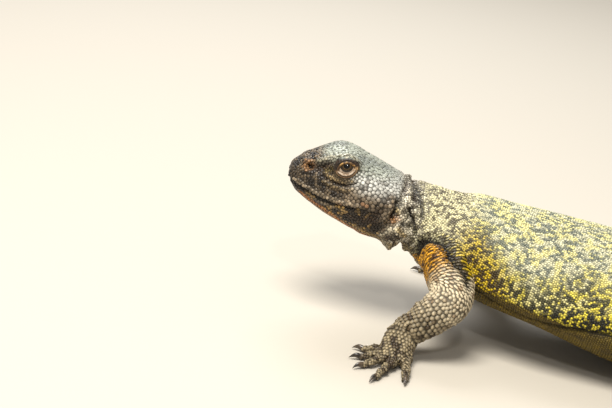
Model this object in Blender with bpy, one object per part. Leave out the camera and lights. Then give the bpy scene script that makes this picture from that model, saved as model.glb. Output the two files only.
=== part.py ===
"""A spiny-tailed agama lizard, life size, resting on its belly with its chest and head raised.

The animal faces -X, its left side faces -Y and it lies on the floor, z = 0. Sizes below are
in millimetres and are turned into metres when a mesh is made. The body, the tail and each
limb are lofts: rings set along a smooth line through a few named stations.
"""

from math import cos, copysign, pi, radians, sin, tau

import bmesh
import bpy
import numpy as np
from mathutils import Matrix, Vector

MM = 0.001
GAP = 0.3
UP = Vector((0, 0, 1))

# Head, in its own frame: u runs back from the snout tip, v to the animal's right, w up from
# the line of the mouth.
HEAD_LENGTH = 42.0
NAPE = Vector((-9.5, -1.2, 37.5))
HEAD_PITCH = radians(9)
HEAD_YAW = radians(13)
HEAD_ROLL = radians(-2)
# u, half width, top, bottom, squareness above the mouth, squareness below it
HEAD_STATIONS = (
    (0.0, 4.6, 5.2, -1.8, 2.3, 2.2),
    (1.6, 7.0, 7.6, -3.8, 2.3, 2.2),
    (5.0, 9.2, 10.4, -5.8, 2.4, 2.2),
    (9.0, 11.0, 13.2, -7.5, 2.7, 2.2),
    (13.0, 12.8, 15.2, -8.9, 3.0, 2.3),
    (18.0, 14.8, 15.1, -10.2, 3.1, 2.3),
    (24.0, 16.8, 13.4, -11.4, 2.8, 2.4),
    (30.0, 17.6, 11.8, -11.9, 2.5, 2.5),
    (36.0, 16.8, 10.4, -11.2, 2.3, 2.4),
    (42.0, 15.2, 9.6, -10.2, 2.2, 2.2),
    (50.0, 14.8, 9.4, -10.0, 2.2, 2.2),
)
HEAD_MIDDLE_W = 1.2
NAPE_OVERLAP = 2.5
HEAD_RINGS, THROAT_RINGS = 15, 12
HEAD_SIDES = 32
# The line of the mouth, u and w, from in front of the snout to the corner of the jaw.
MOUTH_LINE = (
    (-6.0, 0.4),
    (0.0, 0.0),
    (6.0, -1.5),
    (13.0, -2.3),
    (20.0, -1.6),
    (26.0, 0.2),
    (32.0, 1.2),
)
JAW_TUCK = 0.95
# How far the block that parts the jaw reaches down and to each side.
MOUTH_BLOCK_DEEP, MOUTH_BLOCK_WIDE = -20.0, 24.0

EYE_CENTRE = (16.6, 10.9, 10.0)
EYE_RADIUS = 4.2
LID_RADIUS = 5.1
LID_OPENING = (3.1, 2.25)
# How pointed the corners of the lids are, and the plug's start and how it widens outwards.
LID_CORNERS = 1.25
LID_PLUG = ((0.5, 0.9), (LID_RADIUS + 3, 1.25))
LID_TILT = radians(27)
# How far the eye looks up, and the share of that by which it looks ahead.
EYE_TURN = radians(14)
EYE_AHEAD = 0.5
NOSTRIL_CENTRE = (4.4, 6.4, 6.6)
NOSTRIL_RIM = 2.3
NOSTRIL_HOLE = 0.95
NOSTRIL_SINK, NOSTRIL_DEPTH = 0.9, 2.0
EAR_CENTRE = (35.6, 16.8, 2.8)
EAR_RADII = (1.3, 3.0, 2.7)

# Body and tail: x, y, top z, bottom z, half width. The belly reaches a little under the
# floor here and is cut flat by it.
BODY_STATIONS = (
    (4.0, 0.0, 46.8, 18.4, 21.0),
    (20.0, 0.6, 44.6, 12.2, 26.4),
    (42.0, 1.0, 42.6, 8.2, 31.6),
    (66.0, 1.0, 40.8, 2.4, 34.0),
    (90.0, 0.6, 37.4, -1.2, 33.0),
    (110.0, 0.0, 32.6, -1.1, 27.0),
    (126.0, -0.4, 27.0, -0.9, 19.6),
    (140.0, -1.2, 22.6, -0.8, 16.2),
    (152.0, -2.6, 18.6, -0.7, 15.0),
    (178.0, -8.0, 15.2, -0.6, 13.6),
    (206.0, -17.0, 13.0, -0.5, 11.2),
    (232.0, -26.5, 10.4, -0.5, 8.2),
    (254.0, -33.0, 7.2, -0.4, 4.9),
    (266.0, -35.6, 4.8, -0.3, 2.6),
)
TAIL_TIP_LENGTH = 3.0
BODY_SIDES = 32
TAIL_SIDES = 16
# Share of a section's height that lies above its widest level.
BACK_SHARE = 0.58
# How square a section of the body is over and under its widest level.
BACK_SQUARENESS, BELLY_SQUARENESS = 2.2, 1.9
# Body stations, counted from the nape, where one node ends and the next begins.
NECK_START, NECK_END, CHEST_END, BELLY_END, PELVIS_END = -0.2, 1.1, 2.6, 5.0, 8.35
# Folds of loose skin under the throat and neck: their places, heights and how far each slopes.
# Only a share of the height goes over the back.
THROAT_FOLD_U, THROAT_FOLD_HEIGHT = 38.6, 4.2
THROAT_FOLD_AHEAD, THROAT_FOLD_BEHIND = 3.6, 1.6
NECK_FOLDS = ((0.22, 3.2), (0.52, 1.6), (0.8, 1.2))
NECK_FOLD_WIDTH = 0.1
NECK_FOLD_ABOVE = 0.12
NECK_CREST = 1.1
# Rings for each station of the neck and of the rest of the torso.
NECK_RINGS, TORSO_RINGS = 12, 3.4

# Tail whorls: one ring of spines each, closer and smaller towards the tip.
WHORLS = 17
WHORL_FIRST, WHORL_LAST = 8.75, 13.75
WHORLS_IN_NODE = (4, 4, 4, 5)
SPINE_SIDES = 4
SPINE_LENGTH = 0.62
SPINE_RISE = radians(21)
SPINE_SINK = 1.0
# Rings of a spine in shares of its length and width: middle, reach along, reach across and
# height of its shoulder, and the reaches of its root.
SPINE_SHOULDER = (0.2, 0.26, 0.42, 0.2)
SPINE_ROOT = (0.4, 0.5)
SPINE_WIDTH_SHARE = 0.84
SPINE_SEED = 7
SPINE_LOWEST = radians(-26)
SPINES_PER_PITCH = 2
WHORL_CROWDING = 0.06
# Where a node of the tail ends, as a share of the way from its last whorl to the next.
TAIL_NODE_END = 0.72
OUTLINE_SIDES = 72

# Limbs: three lengths each, as points of the centre line with the half width and the half
# height there. Two lengths share the point of the joint between them.
ARM_LEFT = (
    (((2.0, -9.0, 29.5), 8.0, 8.2), ((7.0, -21.5, 28.0), 7.2, 7.6), ((12.2, -33.0, 20.0), 6.9, 6.7)),
    (((12.2, -33.0, 20.0), 6.9, 6.7), ((6.0, -36.2, 13.4), 6.1, 5.9), ((0.2, -38.6, 8.0), 5.6, 4.4)),
    (((0.2, -38.6, 8.0), 5.6, 4.4), ((-0.8, -43.0, 4.9), 5.4, 3.4), ((-1.5, -48.0, 2.7), 5.2, 2.4)),
)
ARM_RIGHT = (
    (((3.0, 9.0, 29.5), 8.0, 8.2), ((9.4, 21.5, 27.4), 7.2, 7.6), ((16.0, 33.0, 19.6), 6.9, 6.7)),
    (((16.0, 33.0, 19.6), 6.9, 6.7), ((9.2, 37.0, 13.4), 6.1, 5.9), ((2.8, 40.2, 8.0), 5.6, 4.4)),
    (((2.8, 40.2, 8.0), 5.6, 4.4), ((1.0, 44.6, 4.9), 5.4, 3.4), ((-1.0, 49.4, 2.7), 5.2, 2.4)),
)
LEG_LEFT = (
    (((124.0, -5.0, 14.5), 10.6, 10.2), ((114.0, -25.0, 15.0), 9.6, 9.2), ((104.0, -42.0, 13.6), 7.0, 6.8)),
    (((104.0, -42.0, 13.6), 7.0, 6.8), ((115.0, -46.5, 10.2), 6.6, 6.2), ((129.0, -52.0, 6.0), 4.6, 4.4)),
    (((129.0, -52.0, 6.0), 4.6, 4.4), ((123.5, -59.5, 3.8), 5.4, 3.3), ((118.0, -66.5, 2.7), 5.8, 2.5)),
)
LEG_RIGHT = (
    (((124.0, 5.0, 14.5), 10.6, 10.2), ((117.0, 25.0, 15.0), 9.6, 9.2), ((108.0, 42.0, 13.6), 7.0, 6.8)),
    (((108.0, 42.0, 13.6), 7.0, 6.8), ((119.5, 46.0, 10.2), 6.6, 6.2), ((134.0, 51.0, 6.0), 4.6, 4.4)),
    (((134.0, 51.0, 6.0), 4.6, 4.4), ((129.5, 59.0, 3.8), 5.4, 3.3), ((124.5, 66.5, 2.7), 5.8, 2.5)),
)
LIMB_SIDES = 14
LIMB_RINGS = 7
DOME_ANGLES = (radians(78), radians(52), radians(26))

# Digits: the way each points on the floor in degrees, counted from +X towards +Y, its
# length without the claw, and how far across the palm it roots, from inner to outer.
HAND_LEFT_DIGITS = ((172, 2.1), (200, 4.7), (226, 7.9), (254, 12.3), (280, 9.3))
HAND_RIGHT_DIGITS = ((176, 2.1), (152, 4.9), (128, 8.1), (104, 11.9), (76, 9.3))
FOOT_LEFT_DIGITS = ((178, 8.3), (204, 11.3), (222, 14.3), (239, 15.8), (268, 10.8))
FOOT_RIGHT_DIGITS = ((180, 8.3), (155, 11.3), (137, 14.3), (120, 15.8), (92, 10.8))
DIGIT_ROOTS = (-4.3, -2.3, -0.1, 2.1, 4.0)
DIGIT_SETBACK = (3.4, 0.8, 0.0, 0.6, 2.6)
DIGIT_RADII = (1.9, 1.5, 1.4, 1.15)
DIGIT_HEIGHTS = (2.4, 2.7, 1.9, 1.1)
# Length of a digit within the palm, and its knobs' height as a share of its radius.
DIGIT_INSIDE = 3.0
DIGIT_KNOBS = 0.07
# Where the palm's middle lies, in stations before its end.
PALM_MIDDLE = 1.35
DIGIT_SIDES = 7
DIGIT_RINGS = 5
CLAW_LENGTH = 3.5
CLAW_RADII = (0.95, 0.82, 0.55, 0.2)
CLAW_SIDES = 6

# A block that takes off all that reaches under the floor.
FLOOR_CUT = ((-150, -150, -20), (350, 150, 0))
TRIM_SIZE = 30.0

COLOURS = {
    "slate skin": ((0.13, 0.14, 0.14), 0.62),
    "speckled skin": ((0.40, 0.38, 0.10), 0.6),
    "limb skin": ((0.17, 0.14, 0.11), 0.6),
    "tail skin": ((0.21, 0.19, 0.12), 0.6),
    "claw horn": ((0.05, 0.04, 0.03), 0.35),
    "eye": ((0.035, 0.02, 0.012), 0.08),
}


def clear_scene():
    for obj in list(bpy.data.objects):
        bpy.data.objects.remove(obj, do_unlink=True)


def material(name):
    made = bpy.data.materials.get(name)
    if made is None:
        colour, roughness = COLOURS[name]
        made = bpy.data.materials.new(name)
        made.use_nodes = True
        shader = made.node_tree.nodes["Principled BSDF"]
        shader.inputs["Base Color"].default_value = (*colour, 1)
        shader.inputs["Roughness"].default_value = roughness
        shader.inputs["Metallic"].default_value = 0
    return made


def through(knots, values, at):
    """Smooth curve through the values at the knots, read at the places in at."""
    knots, values, at = np.asarray(knots, float), np.asarray(values, float), np.asarray(at, float)
    slopes = np.gradient(values, knots, axis=0)
    i = np.clip(np.searchsorted(knots, at) - 1, 0, len(knots) - 2)
    step = knots[i + 1] - knots[i]
    t = (at - knots[i]) / step
    if values.ndim > 1:
        t, step = t[..., None], step[..., None]
    return (
        (2 * t**3 - 3 * t**2 + 1) * values[i]
        + (t**3 - 2 * t**2 + t) * step * slopes[i]
        + (3 * t**2 - 2 * t**3) * values[i + 1]
        + (t**3 - t**2) * step * slopes[i + 1]
    )


def link(name, mesh, paint):
    obj = bpy.data.objects.new(name, mesh)
    bpy.context.scene.collection.objects.link(obj)
    mesh.materials.clear()
    mesh.materials.append(material(paint))
    mesh.shade_smooth()
    mesh.set_sharp_from_angle(angle=radians(40))
    return obj


def loft(name, rings, paint):
    """A closed skin over rings of points in millimetres, with a flat face over each end."""
    bm = bmesh.new()
    loops = [[bm.verts.new(Vector(p) * MM) for p in ring] for ring in rings]
    for near, far in zip(loops, loops[1:]):
        for k in range(len(near)):
            j = (k + 1) % len(near)
            bm.faces.new((near[k], near[j], far[j], far[k]))
    bm.faces.new(loops[0])
    bm.faces.new(loops[-1])
    bmesh.ops.recalc_face_normals(bm, faces=bm.faces)
    mesh = bpy.data.meshes.new(name)
    bm.to_mesh(mesh)
    bm.free()
    return link(name, mesh, paint)


def section(centre, side, lift, half_width, top, bottom, sides, above=2.2, below=2.2):
    """One ring: a rounded outline, half_width to each side, top above the centre, bottom below."""
    ring = []
    for k in range(sides):
        c, s = cos(tau * k / sides), sin(tau * k / sides)
        power = 2 / (above if s >= 0 else below)
        across = half_width * copysign(abs(c) ** power, c)
        up = (top if s >= 0 else bottom) * copysign(abs(s) ** power, s)
        ring.append(centre + side * across + lift * up)
    return ring


def evaluated(obj):
    """The object's mesh with its modifiers applied, as its own mesh."""
    graph = bpy.context.evaluated_depsgraph_get()
    old = obj.data
    obj.data = bpy.data.meshes.new_from_object(obj.evaluated_get(graph))
    obj.modifiers.clear()
    bpy.data.meshes.remove(old)
    return obj


def keep_largest(obj):
    """Drops every closed surface of the mesh but the one that spans the largest box."""
    bm = bmesh.new()
    bm.from_mesh(obj.data)
    left, shells = set(bm.verts), []
    while left:
        shell, grow = set(), [left.pop()]
        while grow:
            vert = grow.pop()
            shell.add(vert)
            for edge in vert.link_edges:
                other = edge.other_vert(vert)
                if other in left:
                    left.remove(other)
                    grow.append(other)
        shells.append(shell)

    def span(shell):
        corners = np.array([v.co for v in shell])
        return float(np.linalg.norm(corners.max(0) - corners.min(0)))

    shells.sort(key=span)
    for shell in shells[:-1]:
        bmesh.ops.delete(bm, geom=list(shell), context="VERTS")
    bm.to_mesh(obj.data)
    bm.free()


def boolean(obj, other, operation, solver="EXACT"):
    """Cuts with, or joins, one other object, which is then removed."""
    cut = obj.modifiers.new("cut", "BOOLEAN")
    cut.operation = operation
    cut.solver = solver
    cut.object = other
    evaluated(obj)
    bpy.data.objects.remove(other, do_unlink=True)
    keep_largest(obj)
    return obj


def fuse(obj, pieces):
    """Joins the pieces to obj in one Boolean union and removes them.

    The exact solver leaves open edges on these unions, so the manifold one makes them.
    """
    group = bpy.data.collections.new("pieces")
    for piece in pieces:
        group.objects.link(piece)
    union = obj.modifiers.new("union", "BOOLEAN")
    union.operation = "UNION"
    union.solver = "MANIFOLD"
    union.operand_type = "COLLECTION"
    union.collection = group
    bpy.context.scene.collection.children.link(group)
    evaluated(obj)
    for piece in pieces:
        bpy.data.objects.remove(piece, do_unlink=True)
    bpy.data.collections.remove(group)
    keep_largest(obj)
    return obj


def block(name, low, high):
    """A closed box between two corners, in millimetres."""
    bm = bmesh.new()
    bmesh.ops.create_cube(bm, size=1)
    low, high = Vector(low), Vector(high)
    size = high - low
    bmesh.ops.scale(bm, vec=size * MM, verts=bm.verts)
    bmesh.ops.translate(bm, vec=(low + high) / 2 * MM, verts=bm.verts)
    mesh = bpy.data.meshes.new(name)
    bm.to_mesh(mesh)
    bm.free()
    return link(name, mesh, "slate skin")


def cut_at_floor(obj):
    """Takes off what reaches under the floor, which leaves a flat to rest on."""
    return boolean(obj, block("floor cut", *FLOOR_CUT), "DIFFERENCE")


def ball(name, centre, radii, matrix, segments, rings, paint):
    """An ellipsoid in the frame of matrix, whose sizes are millimetres."""
    bm = bmesh.new()
    bmesh.ops.create_uvsphere(bm, u_segments=segments, v_segments=rings, radius=1)
    place = Matrix.Translation(Vector(centre)) @ Matrix.Diagonal((*radii, 1))
    bm.transform(Matrix.Scale(MM, 4) @ matrix @ place)
    bmesh.ops.recalc_face_normals(bm, faces=bm.faces)
    mesh = bpy.data.meshes.new(name)
    bm.to_mesh(mesh)
    bm.free()
    return link(name, mesh, paint)


def head_matrix():
    """Takes the head's own u, v, w to the animal's frame."""
    ahead = Vector(
        (-cos(HEAD_YAW) * cos(HEAD_PITCH), -sin(HEAD_YAW) * cos(HEAD_PITCH), sin(HEAD_PITCH))
    )
    level = ahead.cross(UP).normalized()
    upright = level.cross(ahead)
    right = level * cos(HEAD_ROLL) + upright * sin(HEAD_ROLL)
    turn = Matrix((-ahead, right, right.cross(ahead))).transposed().to_4x4()
    return Matrix.Translation(NAPE) @ turn @ Matrix.Translation((-HEAD_LENGTH, 0, 0))


def head_ring(u, matrix):
    """The head's outline at u, in the animal's frame."""
    table = np.array(HEAD_STATIONS)
    half, top, bottom, above, below = through(table[:, 0], table[:, 1:], [u])[0]
    ring = section(
        Vector((u, 0, HEAD_MIDDLE_W)),
        Vector((0, 1, 0)),
        UP,
        half,
        top - HEAD_MIDDLE_W,
        HEAD_MIDDLE_W - bottom,
        HEAD_SIDES,
        above,
        below,
    )
    reach = THROAT_FOLD_AHEAD if u < THROAT_FOLD_U else THROAT_FOLD_BEHIND
    fold = THROAT_FOLD_HEIGHT * np.exp(-(((u - THROAT_FOLD_U) / reach) ** 2))
    middle = Vector((u, 0, HEAD_MIDDLE_W))
    for k, p in enumerate(ring):
        under = max(0, -sin(tau * k / HEAD_SIDES))
        ring[k] = matrix @ (p + (p - middle).normalized() * (fold * under))
    return ring


def mouth_block(name, matrix, gap):
    """What lies under the line of the mouth, as a block to part the jaw from the head."""
    us = np.linspace(MOUTH_LINE[0][0], MOUTH_LINE[-1][0] - gap, 14)
    line = np.array(MOUTH_LINE)
    edge = [(u, float(through(line[:, 0], line[:, 1], [u])[0]) - gap) for u in us]
    deep = MOUTH_BLOCK_DEEP
    outline = [*edge, (edge[-1][0], deep), (edge[0][0], deep)]
    sides = (-MOUTH_BLOCK_WIDE, MOUTH_BLOCK_WIDE)
    rings = [[matrix @ Vector((u, v, w)) for u, w in outline] for v in sides]
    return loft(name, rings, "slate skin")


def eye_frame(matrix, side):
    """The frame of one eye: z looks out, x runs back along the slit of the lids."""
    centre = Vector((EYE_CENTRE[0], side * EYE_CENTRE[1], EYE_CENTRE[2]))
    out = Vector((-sin(EYE_TURN) * EYE_AHEAD, side * cos(EYE_TURN), sin(EYE_TURN))).normalized()
    slit = Vector((cos(LID_TILT), 0, sin(LID_TILT)))
    slit = (slit - out * slit.dot(out)).normalized()
    turn = Matrix((slit, out.cross(slit), out)).transposed().to_4x4()
    return matrix @ Matrix.Translation(centre) @ turn


def lid_opening(frame):
    """The almond between the lids, as a plug along the way that the eye looks."""
    outline = [
        (LID_OPENING[0] * cos(a), LID_OPENING[1] * copysign(abs(sin(a)) ** LID_CORNERS, sin(a)))
        for a in np.linspace(0, tau, 12, endpoint=False)
    ]
    rings = [
        [frame @ Vector((x * flare, y * flare, z)) for x, y in outline]
        for z, flare in LID_PLUG
    ]
    return loft("lid opening", rings, "slate skin")


def nostril_frame(matrix, side):
    centre = Vector((NOSTRIL_CENTRE[0], side * NOSTRIL_CENTRE[1], NOSTRIL_CENTRE[2]))
    return matrix @ Matrix.Translation(centre)


def make_head(matrix):
    """Head and jaw, parted along the mouth, with lids, nostrils and ear openings.

    The exact solver leaves open edges on the head too, so its cuts are manifold ones.
    """
    last = HEAD_LENGTH + NAPE_OVERLAP
    us = np.concatenate(([0, 0.7], np.linspace(1.8, 33, HEAD_RINGS), np.linspace(34.2, last, THROAT_RINGS)))
    rings = [head_ring(u, matrix) for u in us]
    head = loft("head", rings, "slate skin")
    jaw = loft("jaw", rings, "slate skin")

    boolean(jaw, mouth_block("below the mouth", matrix, GAP), "INTERSECT", "MANIFOLD")
    tuck = matrix @ Matrix.Diagonal((1, JAW_TUCK, 1, 1)) @ matrix.inverted()
    jaw.data.transform(Matrix.Scale(MM, 4) @ tuck @ Matrix.Scale(1 / MM, 4))
    boolean(head, mouth_block("below the mouth", matrix, 0), "DIFFERENCE", "MANIFOLD")

    nape = matrix @ Vector((HEAD_LENGTH, 0, 0))
    ahead = (matrix @ Vector((0, 0, 0)) - nape).normalized()
    trim(head, nape, -ahead, "MANIFOLD")
    trim(bpy.data.objects["neck"], nape, ahead)

    bumps = []
    for side in (1, -1):
        frame = eye_frame(matrix, side)
        bumps.append(ball("lids", (0, 0, 0), (LID_RADIUS,) * 3, frame, 14, 9, "slate skin"))
        frame = nostril_frame(matrix, side)
        bumps.append(
            ball("nostril rim", (0, -side * NOSTRIL_SINK, 0), (NOSTRIL_RIM,) * 3, frame, 10, 6, "slate skin")
        )
    fuse(head, bumps)
    for side in (1, -1):
        frame = eye_frame(matrix, side)
        cavity = (EYE_RADIUS + GAP,) * 3
        socket = ball("socket", (0, 0, 0), cavity, frame, 14, 9, "slate skin")
        boolean(head, lid_opening(frame), "DIFFERENCE", "MANIFOLD")
        boolean(head, socket, "DIFFERENCE", "MANIFOLD")
        frame = nostril_frame(matrix, side)
        hole = (NOSTRIL_HOLE, NOSTRIL_DEPTH, NOSTRIL_HOLE)
        mouth = (0, side * (NOSTRIL_RIM - NOSTRIL_SINK), 0)
        nostril = ball("nostril", mouth, hole, frame, 8, 6, "slate skin")
        boolean(head, nostril, "DIFFERENCE", "MANIFOLD")
        centre = (EAR_CENTRE[0], side * EAR_CENTRE[1], EAR_CENTRE[2])
        ear = ball("ear", centre, EAR_RADII, matrix, 10, 6, "slate skin")
        boolean(head, ear, "DIFFERENCE", "MANIFOLD")

        name = "eye_right" if side > 0 else "eye_left"
        ball(name, (0, 0, 0), (EYE_RADIUS,) * 3, eye_frame(matrix, side), 14, 9, "eye")


def body_line(matrix):
    """Centre, half width, top, bottom and roll of the body at each station after the nape."""
    rows = []
    for u in (HEAD_LENGTH - 12, HEAD_LENGTH):
        table = np.array(HEAD_STATIONS)
        half, top, bottom = through(table[:, 0], table[:, 1:4], [u])[0]
        centre = matrix @ Vector((u, 0, HEAD_MIDDLE_W))
        rows.append((*centre, half, top - HEAD_MIDDLE_W, HEAD_MIDDLE_W - bottom, HEAD_ROLL))
    for x, y, top, bottom, half in BODY_STATIONS:
        height = top - bottom
        middle = top - height * BACK_SHARE
        rows.append((x, y, middle, half, height * BACK_SHARE, height * (1 - BACK_SHARE), 0.0))
    return np.array(rows)


def body_ring(line, at, sides, grow=0.0):
    """The body's outline at a station number, where 0 is the nape, in the animal's frame."""
    knots = np.arange(len(line)) - 1.0
    row = through(knots, line, [at])[0]
    ahead = through(knots, line[:, :3], [at + 0.02])[0]
    behind = through(knots, line[:, :3], [at - 0.02])[0]
    along = Vector(ahead - behind).normalized()
    side = UP.cross(along).normalized()
    side = Matrix.Rotation(float(row[6]), 3, along) @ side
    lift = along.cross(side)
    half, top, bottom = row[3] + grow, row[4] + grow, row[5] + grow
    ring = section(Vector(row[:3]), side, lift, half, top, bottom, sides, BACK_SQUARENESS, BELLY_SQUARENESS)
    return Vector(row[:3]), along, ring


def gap_share(line, at):
    """The gap between two nodes, as a share of the way from one station to the next."""
    near, far = line[int(at) + 1, :3], line[int(at) + 2, :3]
    return GAP / float(np.linalg.norm(far - near))


def torso_ring(line, at, grow=0.0):
    """The torso's outline, where the loose skin of the throat and neck stands out in folds."""
    centre, _, ring = body_ring(line, at, BODY_SIDES, grow)
    swell = sum(high * np.exp(-(((at - fold) / NECK_FOLD_WIDTH) ** 2)) for fold, high in NECK_FOLDS)
    swell *= max(0, min(1, at / 0.1, (NECK_END - at) / 0.2))
    crest = NECK_CREST * sin(pi * max(0, min(1, at / NECK_END)))
    folded = []
    for k, p in enumerate(ring):
        up = sin(tau * k / BODY_SIDES)
        out = swell * max(NECK_FOLD_ABOVE, -up) + crest * max(0, up)
        folded.append(p + (p - centre).normalized() * out)
    return folded


def torso_rings(line, start, end, grow=0.0):
    count = 2 + round((end - start) * (NECK_RINGS if end <= NECK_END else TORSO_RINGS))
    return [torso_ring(line, at, grow) for at in np.linspace(start, end, count)]


def torso_length(name, line, start, end):
    """The stretch of the torso between two station numbers, short of its end by a gap."""
    return loft(name, torso_rings(line, start, end - gap_share(line, end)), "speckled skin")


def spine(centre, along, out, across, width, length):
    """One spine of the tail: a root sunk in the tail, a shoulder, and a point behind it."""
    turns = np.linspace(0, tau, SPINE_SIDES, endpoint=False) + pi / SPINE_SIDES
    long, wide = SPINE_ROOT
    root = [
        centre + along * (length * long * cos(a)) + across * (width * wide * sin(a)) - out * SPINE_SINK
        for a in turns
    ]
    middle, long, wide, high = SPINE_SHOULDER
    shoulder = [
        centre
        + along * (length * (middle + long * cos(a)))
        + across * (width * wide * sin(a))
        + out * (length * high)
        for a in turns
    ]
    tip = centre + (along * cos(SPINE_RISE) + out * sin(SPINE_RISE)) * length
    bm = bmesh.new()
    low = [bm.verts.new(p * MM) for p in root]
    mid = [bm.verts.new(p * MM) for p in shoulder]
    point = bm.verts.new(tip * MM)
    for k in range(SPINE_SIDES):
        j = (k + 1) % SPINE_SIDES
        bm.faces.new((low[k], low[j], mid[j], mid[k]))
        bm.faces.new((mid[k], mid[j], point))
    bm.faces.new(low)
    bmesh.ops.recalc_face_normals(bm, faces=bm.faces)
    mesh = bpy.data.meshes.new("spine")
    bm.to_mesh(mesh)
    bm.free()
    return link("spine", mesh, "tail skin")


def whorl_spines(line, at, pitch, draw):
    """The spines of one whorl, over the back and sides of the tail."""
    centre, along, ring = body_ring(line, at, OUTLINE_SIDES)
    spread = pi - 2 * SPINE_LOWEST
    outline = [Vector(p) for p in ring]
    sides = [(b - a).length for a, b in zip(outline, outline[1:] + outline[:1])]
    total = sum(sides) * spread / tau
    count = max(7, round(total * SPINES_PER_PITCH / pitch))
    made = []
    for n in range(count):
        a = SPINE_LOWEST + spread * (n + 0.5) / count
        k = a / tau * OUTLINE_SIDES
        whole = int(np.floor(k))
        low, high = outline[whole % OUTLINE_SIDES], outline[(whole + 1) % OUTLINE_SIDES]
        point = low.lerp(high, k - whole)
        across = (high - low).normalized()
        out = across.cross(along).normalized()
        if out.dot(point - centre) < 0:
            out = -out
        length = pitch * SPINE_LENGTH * draw.uniform(0.92, 1.06)
        width = total / count * SPINE_WIDTH_SHARE
        made.append(spine(point, along, out, across, width, length))
    return made


def whorl_places():
    """Station number of each whorl, closer together towards the tip."""
    t = np.linspace(0, 1, WHORLS)
    return WHORL_FIRST + (WHORL_LAST - WHORL_FIRST) * (t + WHORL_CROWDING * np.sin(pi * t))


def make_tail(line):
    """Four lengths of tail, parted behind the points of one whorl and before the next."""
    draw = np.random.default_rng(SPINE_SEED)
    places = whorl_places()
    knots = np.arange(len(line)) - 1.0
    spots = [Vector(through(knots, line[:, :3], [at])[0]) for at in places]
    pitches = [(b - a).length for a, b in zip(spots, spots[1:])]
    pitches.append(pitches[-1])
    start, first = PELVIS_END, 0
    for number, count in enumerate(WHORLS_IN_NODE, 1):
        last = first + count
        if last < WHORLS:
            end = places[last - 1] + TAIL_NODE_END * (places[last] - places[last - 1])
            rings = [body_ring(line, at, TAIL_SIDES)[2] for at in np.linspace(start, end, 4 + count)]
            tail = loft(f"tail_{number}", rings, "tail skin")
        else:
            end = len(line) - 2.0
            tail = tail_tip(f"tail_{number}", line, start, end, 4 + count)
        spines = []
        for n in range(first, last):
            spines += whorl_spines(line, places[n], pitches[n], draw)
        fuse(tail, spines)
        cut_at_floor(tail)
        if last < WHORLS:
            start, first = end + gap_share(line, end), last


def tail_tip(name, line, start, end, count):
    """The last length of tail, with a blunt rounded end."""
    rings = [body_ring(line, at, TAIL_SIDES)[2] for at in np.linspace(start, end, count)]
    centre, along, ring = body_ring(line, end, TAIL_SIDES)
    for a in DOME_ANGLES[::-1]:
        rings.append([centre + along * TAIL_TIP_LENGTH * sin(a) + (p - centre) * cos(a) for p in ring])
    return loft(name, rings, "tail skin")


def limb_ring(line, at):
    """Centre, directions and half sizes of a limb at a station number."""
    knots = np.arange(len(line), dtype=float)
    row = through(knots, line, [at])[0]
    ahead = through(knots, line[:, :3], [min(at + 0.05, knots[-1])])[0]
    behind = through(knots, line[:, :3], [max(at - 0.05, 0)])[0]
    along = Vector(ahead - behind).normalized()
    side = along.cross(UP).normalized()
    lift = side.cross(along)
    return Vector(row[:3]), along, side, lift, float(row[3]), float(row[4])


def limb_loft(name, line, paint):
    """One length of a limb, with a dome over each end."""
    rings = []
    last = len(line) - 1
    centre, along, side, lift, wide, high = limb_ring(line, 0)
    for a in DOME_ANGLES:
        back = centre - along * (wide + high) / 2 * sin(a)
        rings.append(section(back, side, lift, wide * cos(a), high * cos(a), high * cos(a), LIMB_SIDES))
    for at in np.linspace(0, last, LIMB_RINGS):
        centre, along, side, lift, wide, high = limb_ring(line, at)
        rings.append(section(centre, side, lift, wide, high, high, LIMB_SIDES))
    for a in reversed(DOME_ANGLES):
        front = centre + along * (wide + high) / 2 * sin(a)
        rings.append(section(front, side, lift, wide * cos(a), high * cos(a), high * cos(a), LIMB_SIDES))
    return loft(name, rings, paint)


def trim(obj, point, way, solver="EXACT"):
    """Takes off what lies past a plane through the point, less half a gap."""
    low, high = (GAP / -2, -TRIM_SIZE, -TRIM_SIZE), (TRIM_SIZE,) * 3
    cutter = block("trim", low, high)
    turn = way.to_track_quat("X", "Z").to_matrix().to_4x4()
    place = Matrix.Translation(point * MM) @ turn
    cutter.data.transform(place)
    return boolean(obj, cutter, "DIFFERENCE", solver)


def digit_line(knuckle, angle, length):
    """Centre line of a digit, flat on the floor at its pad, arched before it."""
    way = Vector((cos(radians(angle)), sin(radians(angle)), 0))
    shares = (0.0, 0.35, 0.7, 1.0)
    return [
        Vector((knuckle.x, knuckle.y, 0)) + way * (share * length) + UP * height
        for share, height in zip(shares, DIGIT_HEIGHTS)
    ], way


def digit_loft(knuckle, angle, length, paint):
    points, way = digit_line(knuckle, angle, length)
    side = Vector((-way.y, way.x, 0))
    rings = []
    for t in np.linspace(0, 3, DIGIT_RINGS):
        centre = Vector(through(range(4), [list(p) for p in points], [t])[0])
        radius = float(through(range(4), DIGIT_RADII, [t])[0])
        knob = 1 + DIGIT_KNOBS * cos(tau * t)
        rings.append(section(centre, side, UP, radius * knob, radius * knob, radius * knob, DIGIT_SIDES))
    return loft("digit", rings, paint)


def claw_loft(name, knuckle, angle, length):
    """A claw that starts just past the digit's flat end and curves down to the floor."""
    points, way = digit_line(knuckle, angle, length)
    side = Vector((-way.y, way.x, 0))
    start = points[-1] + way * GAP
    rings = []
    for share, radius in zip((0, 0.4, 0.75, 1), CLAW_RADII):
        bend = 0.55 * sin(pi * share * 0.8) - 1.0 * share**2
        centre = start + way * (CLAW_LENGTH * share) + UP * (0.1 + bend)
        rings.append(section(centre, side, UP, radius * 0.8, radius, radius, CLAW_SIDES))
    return loft(name, rings, "claw horn")


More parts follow.
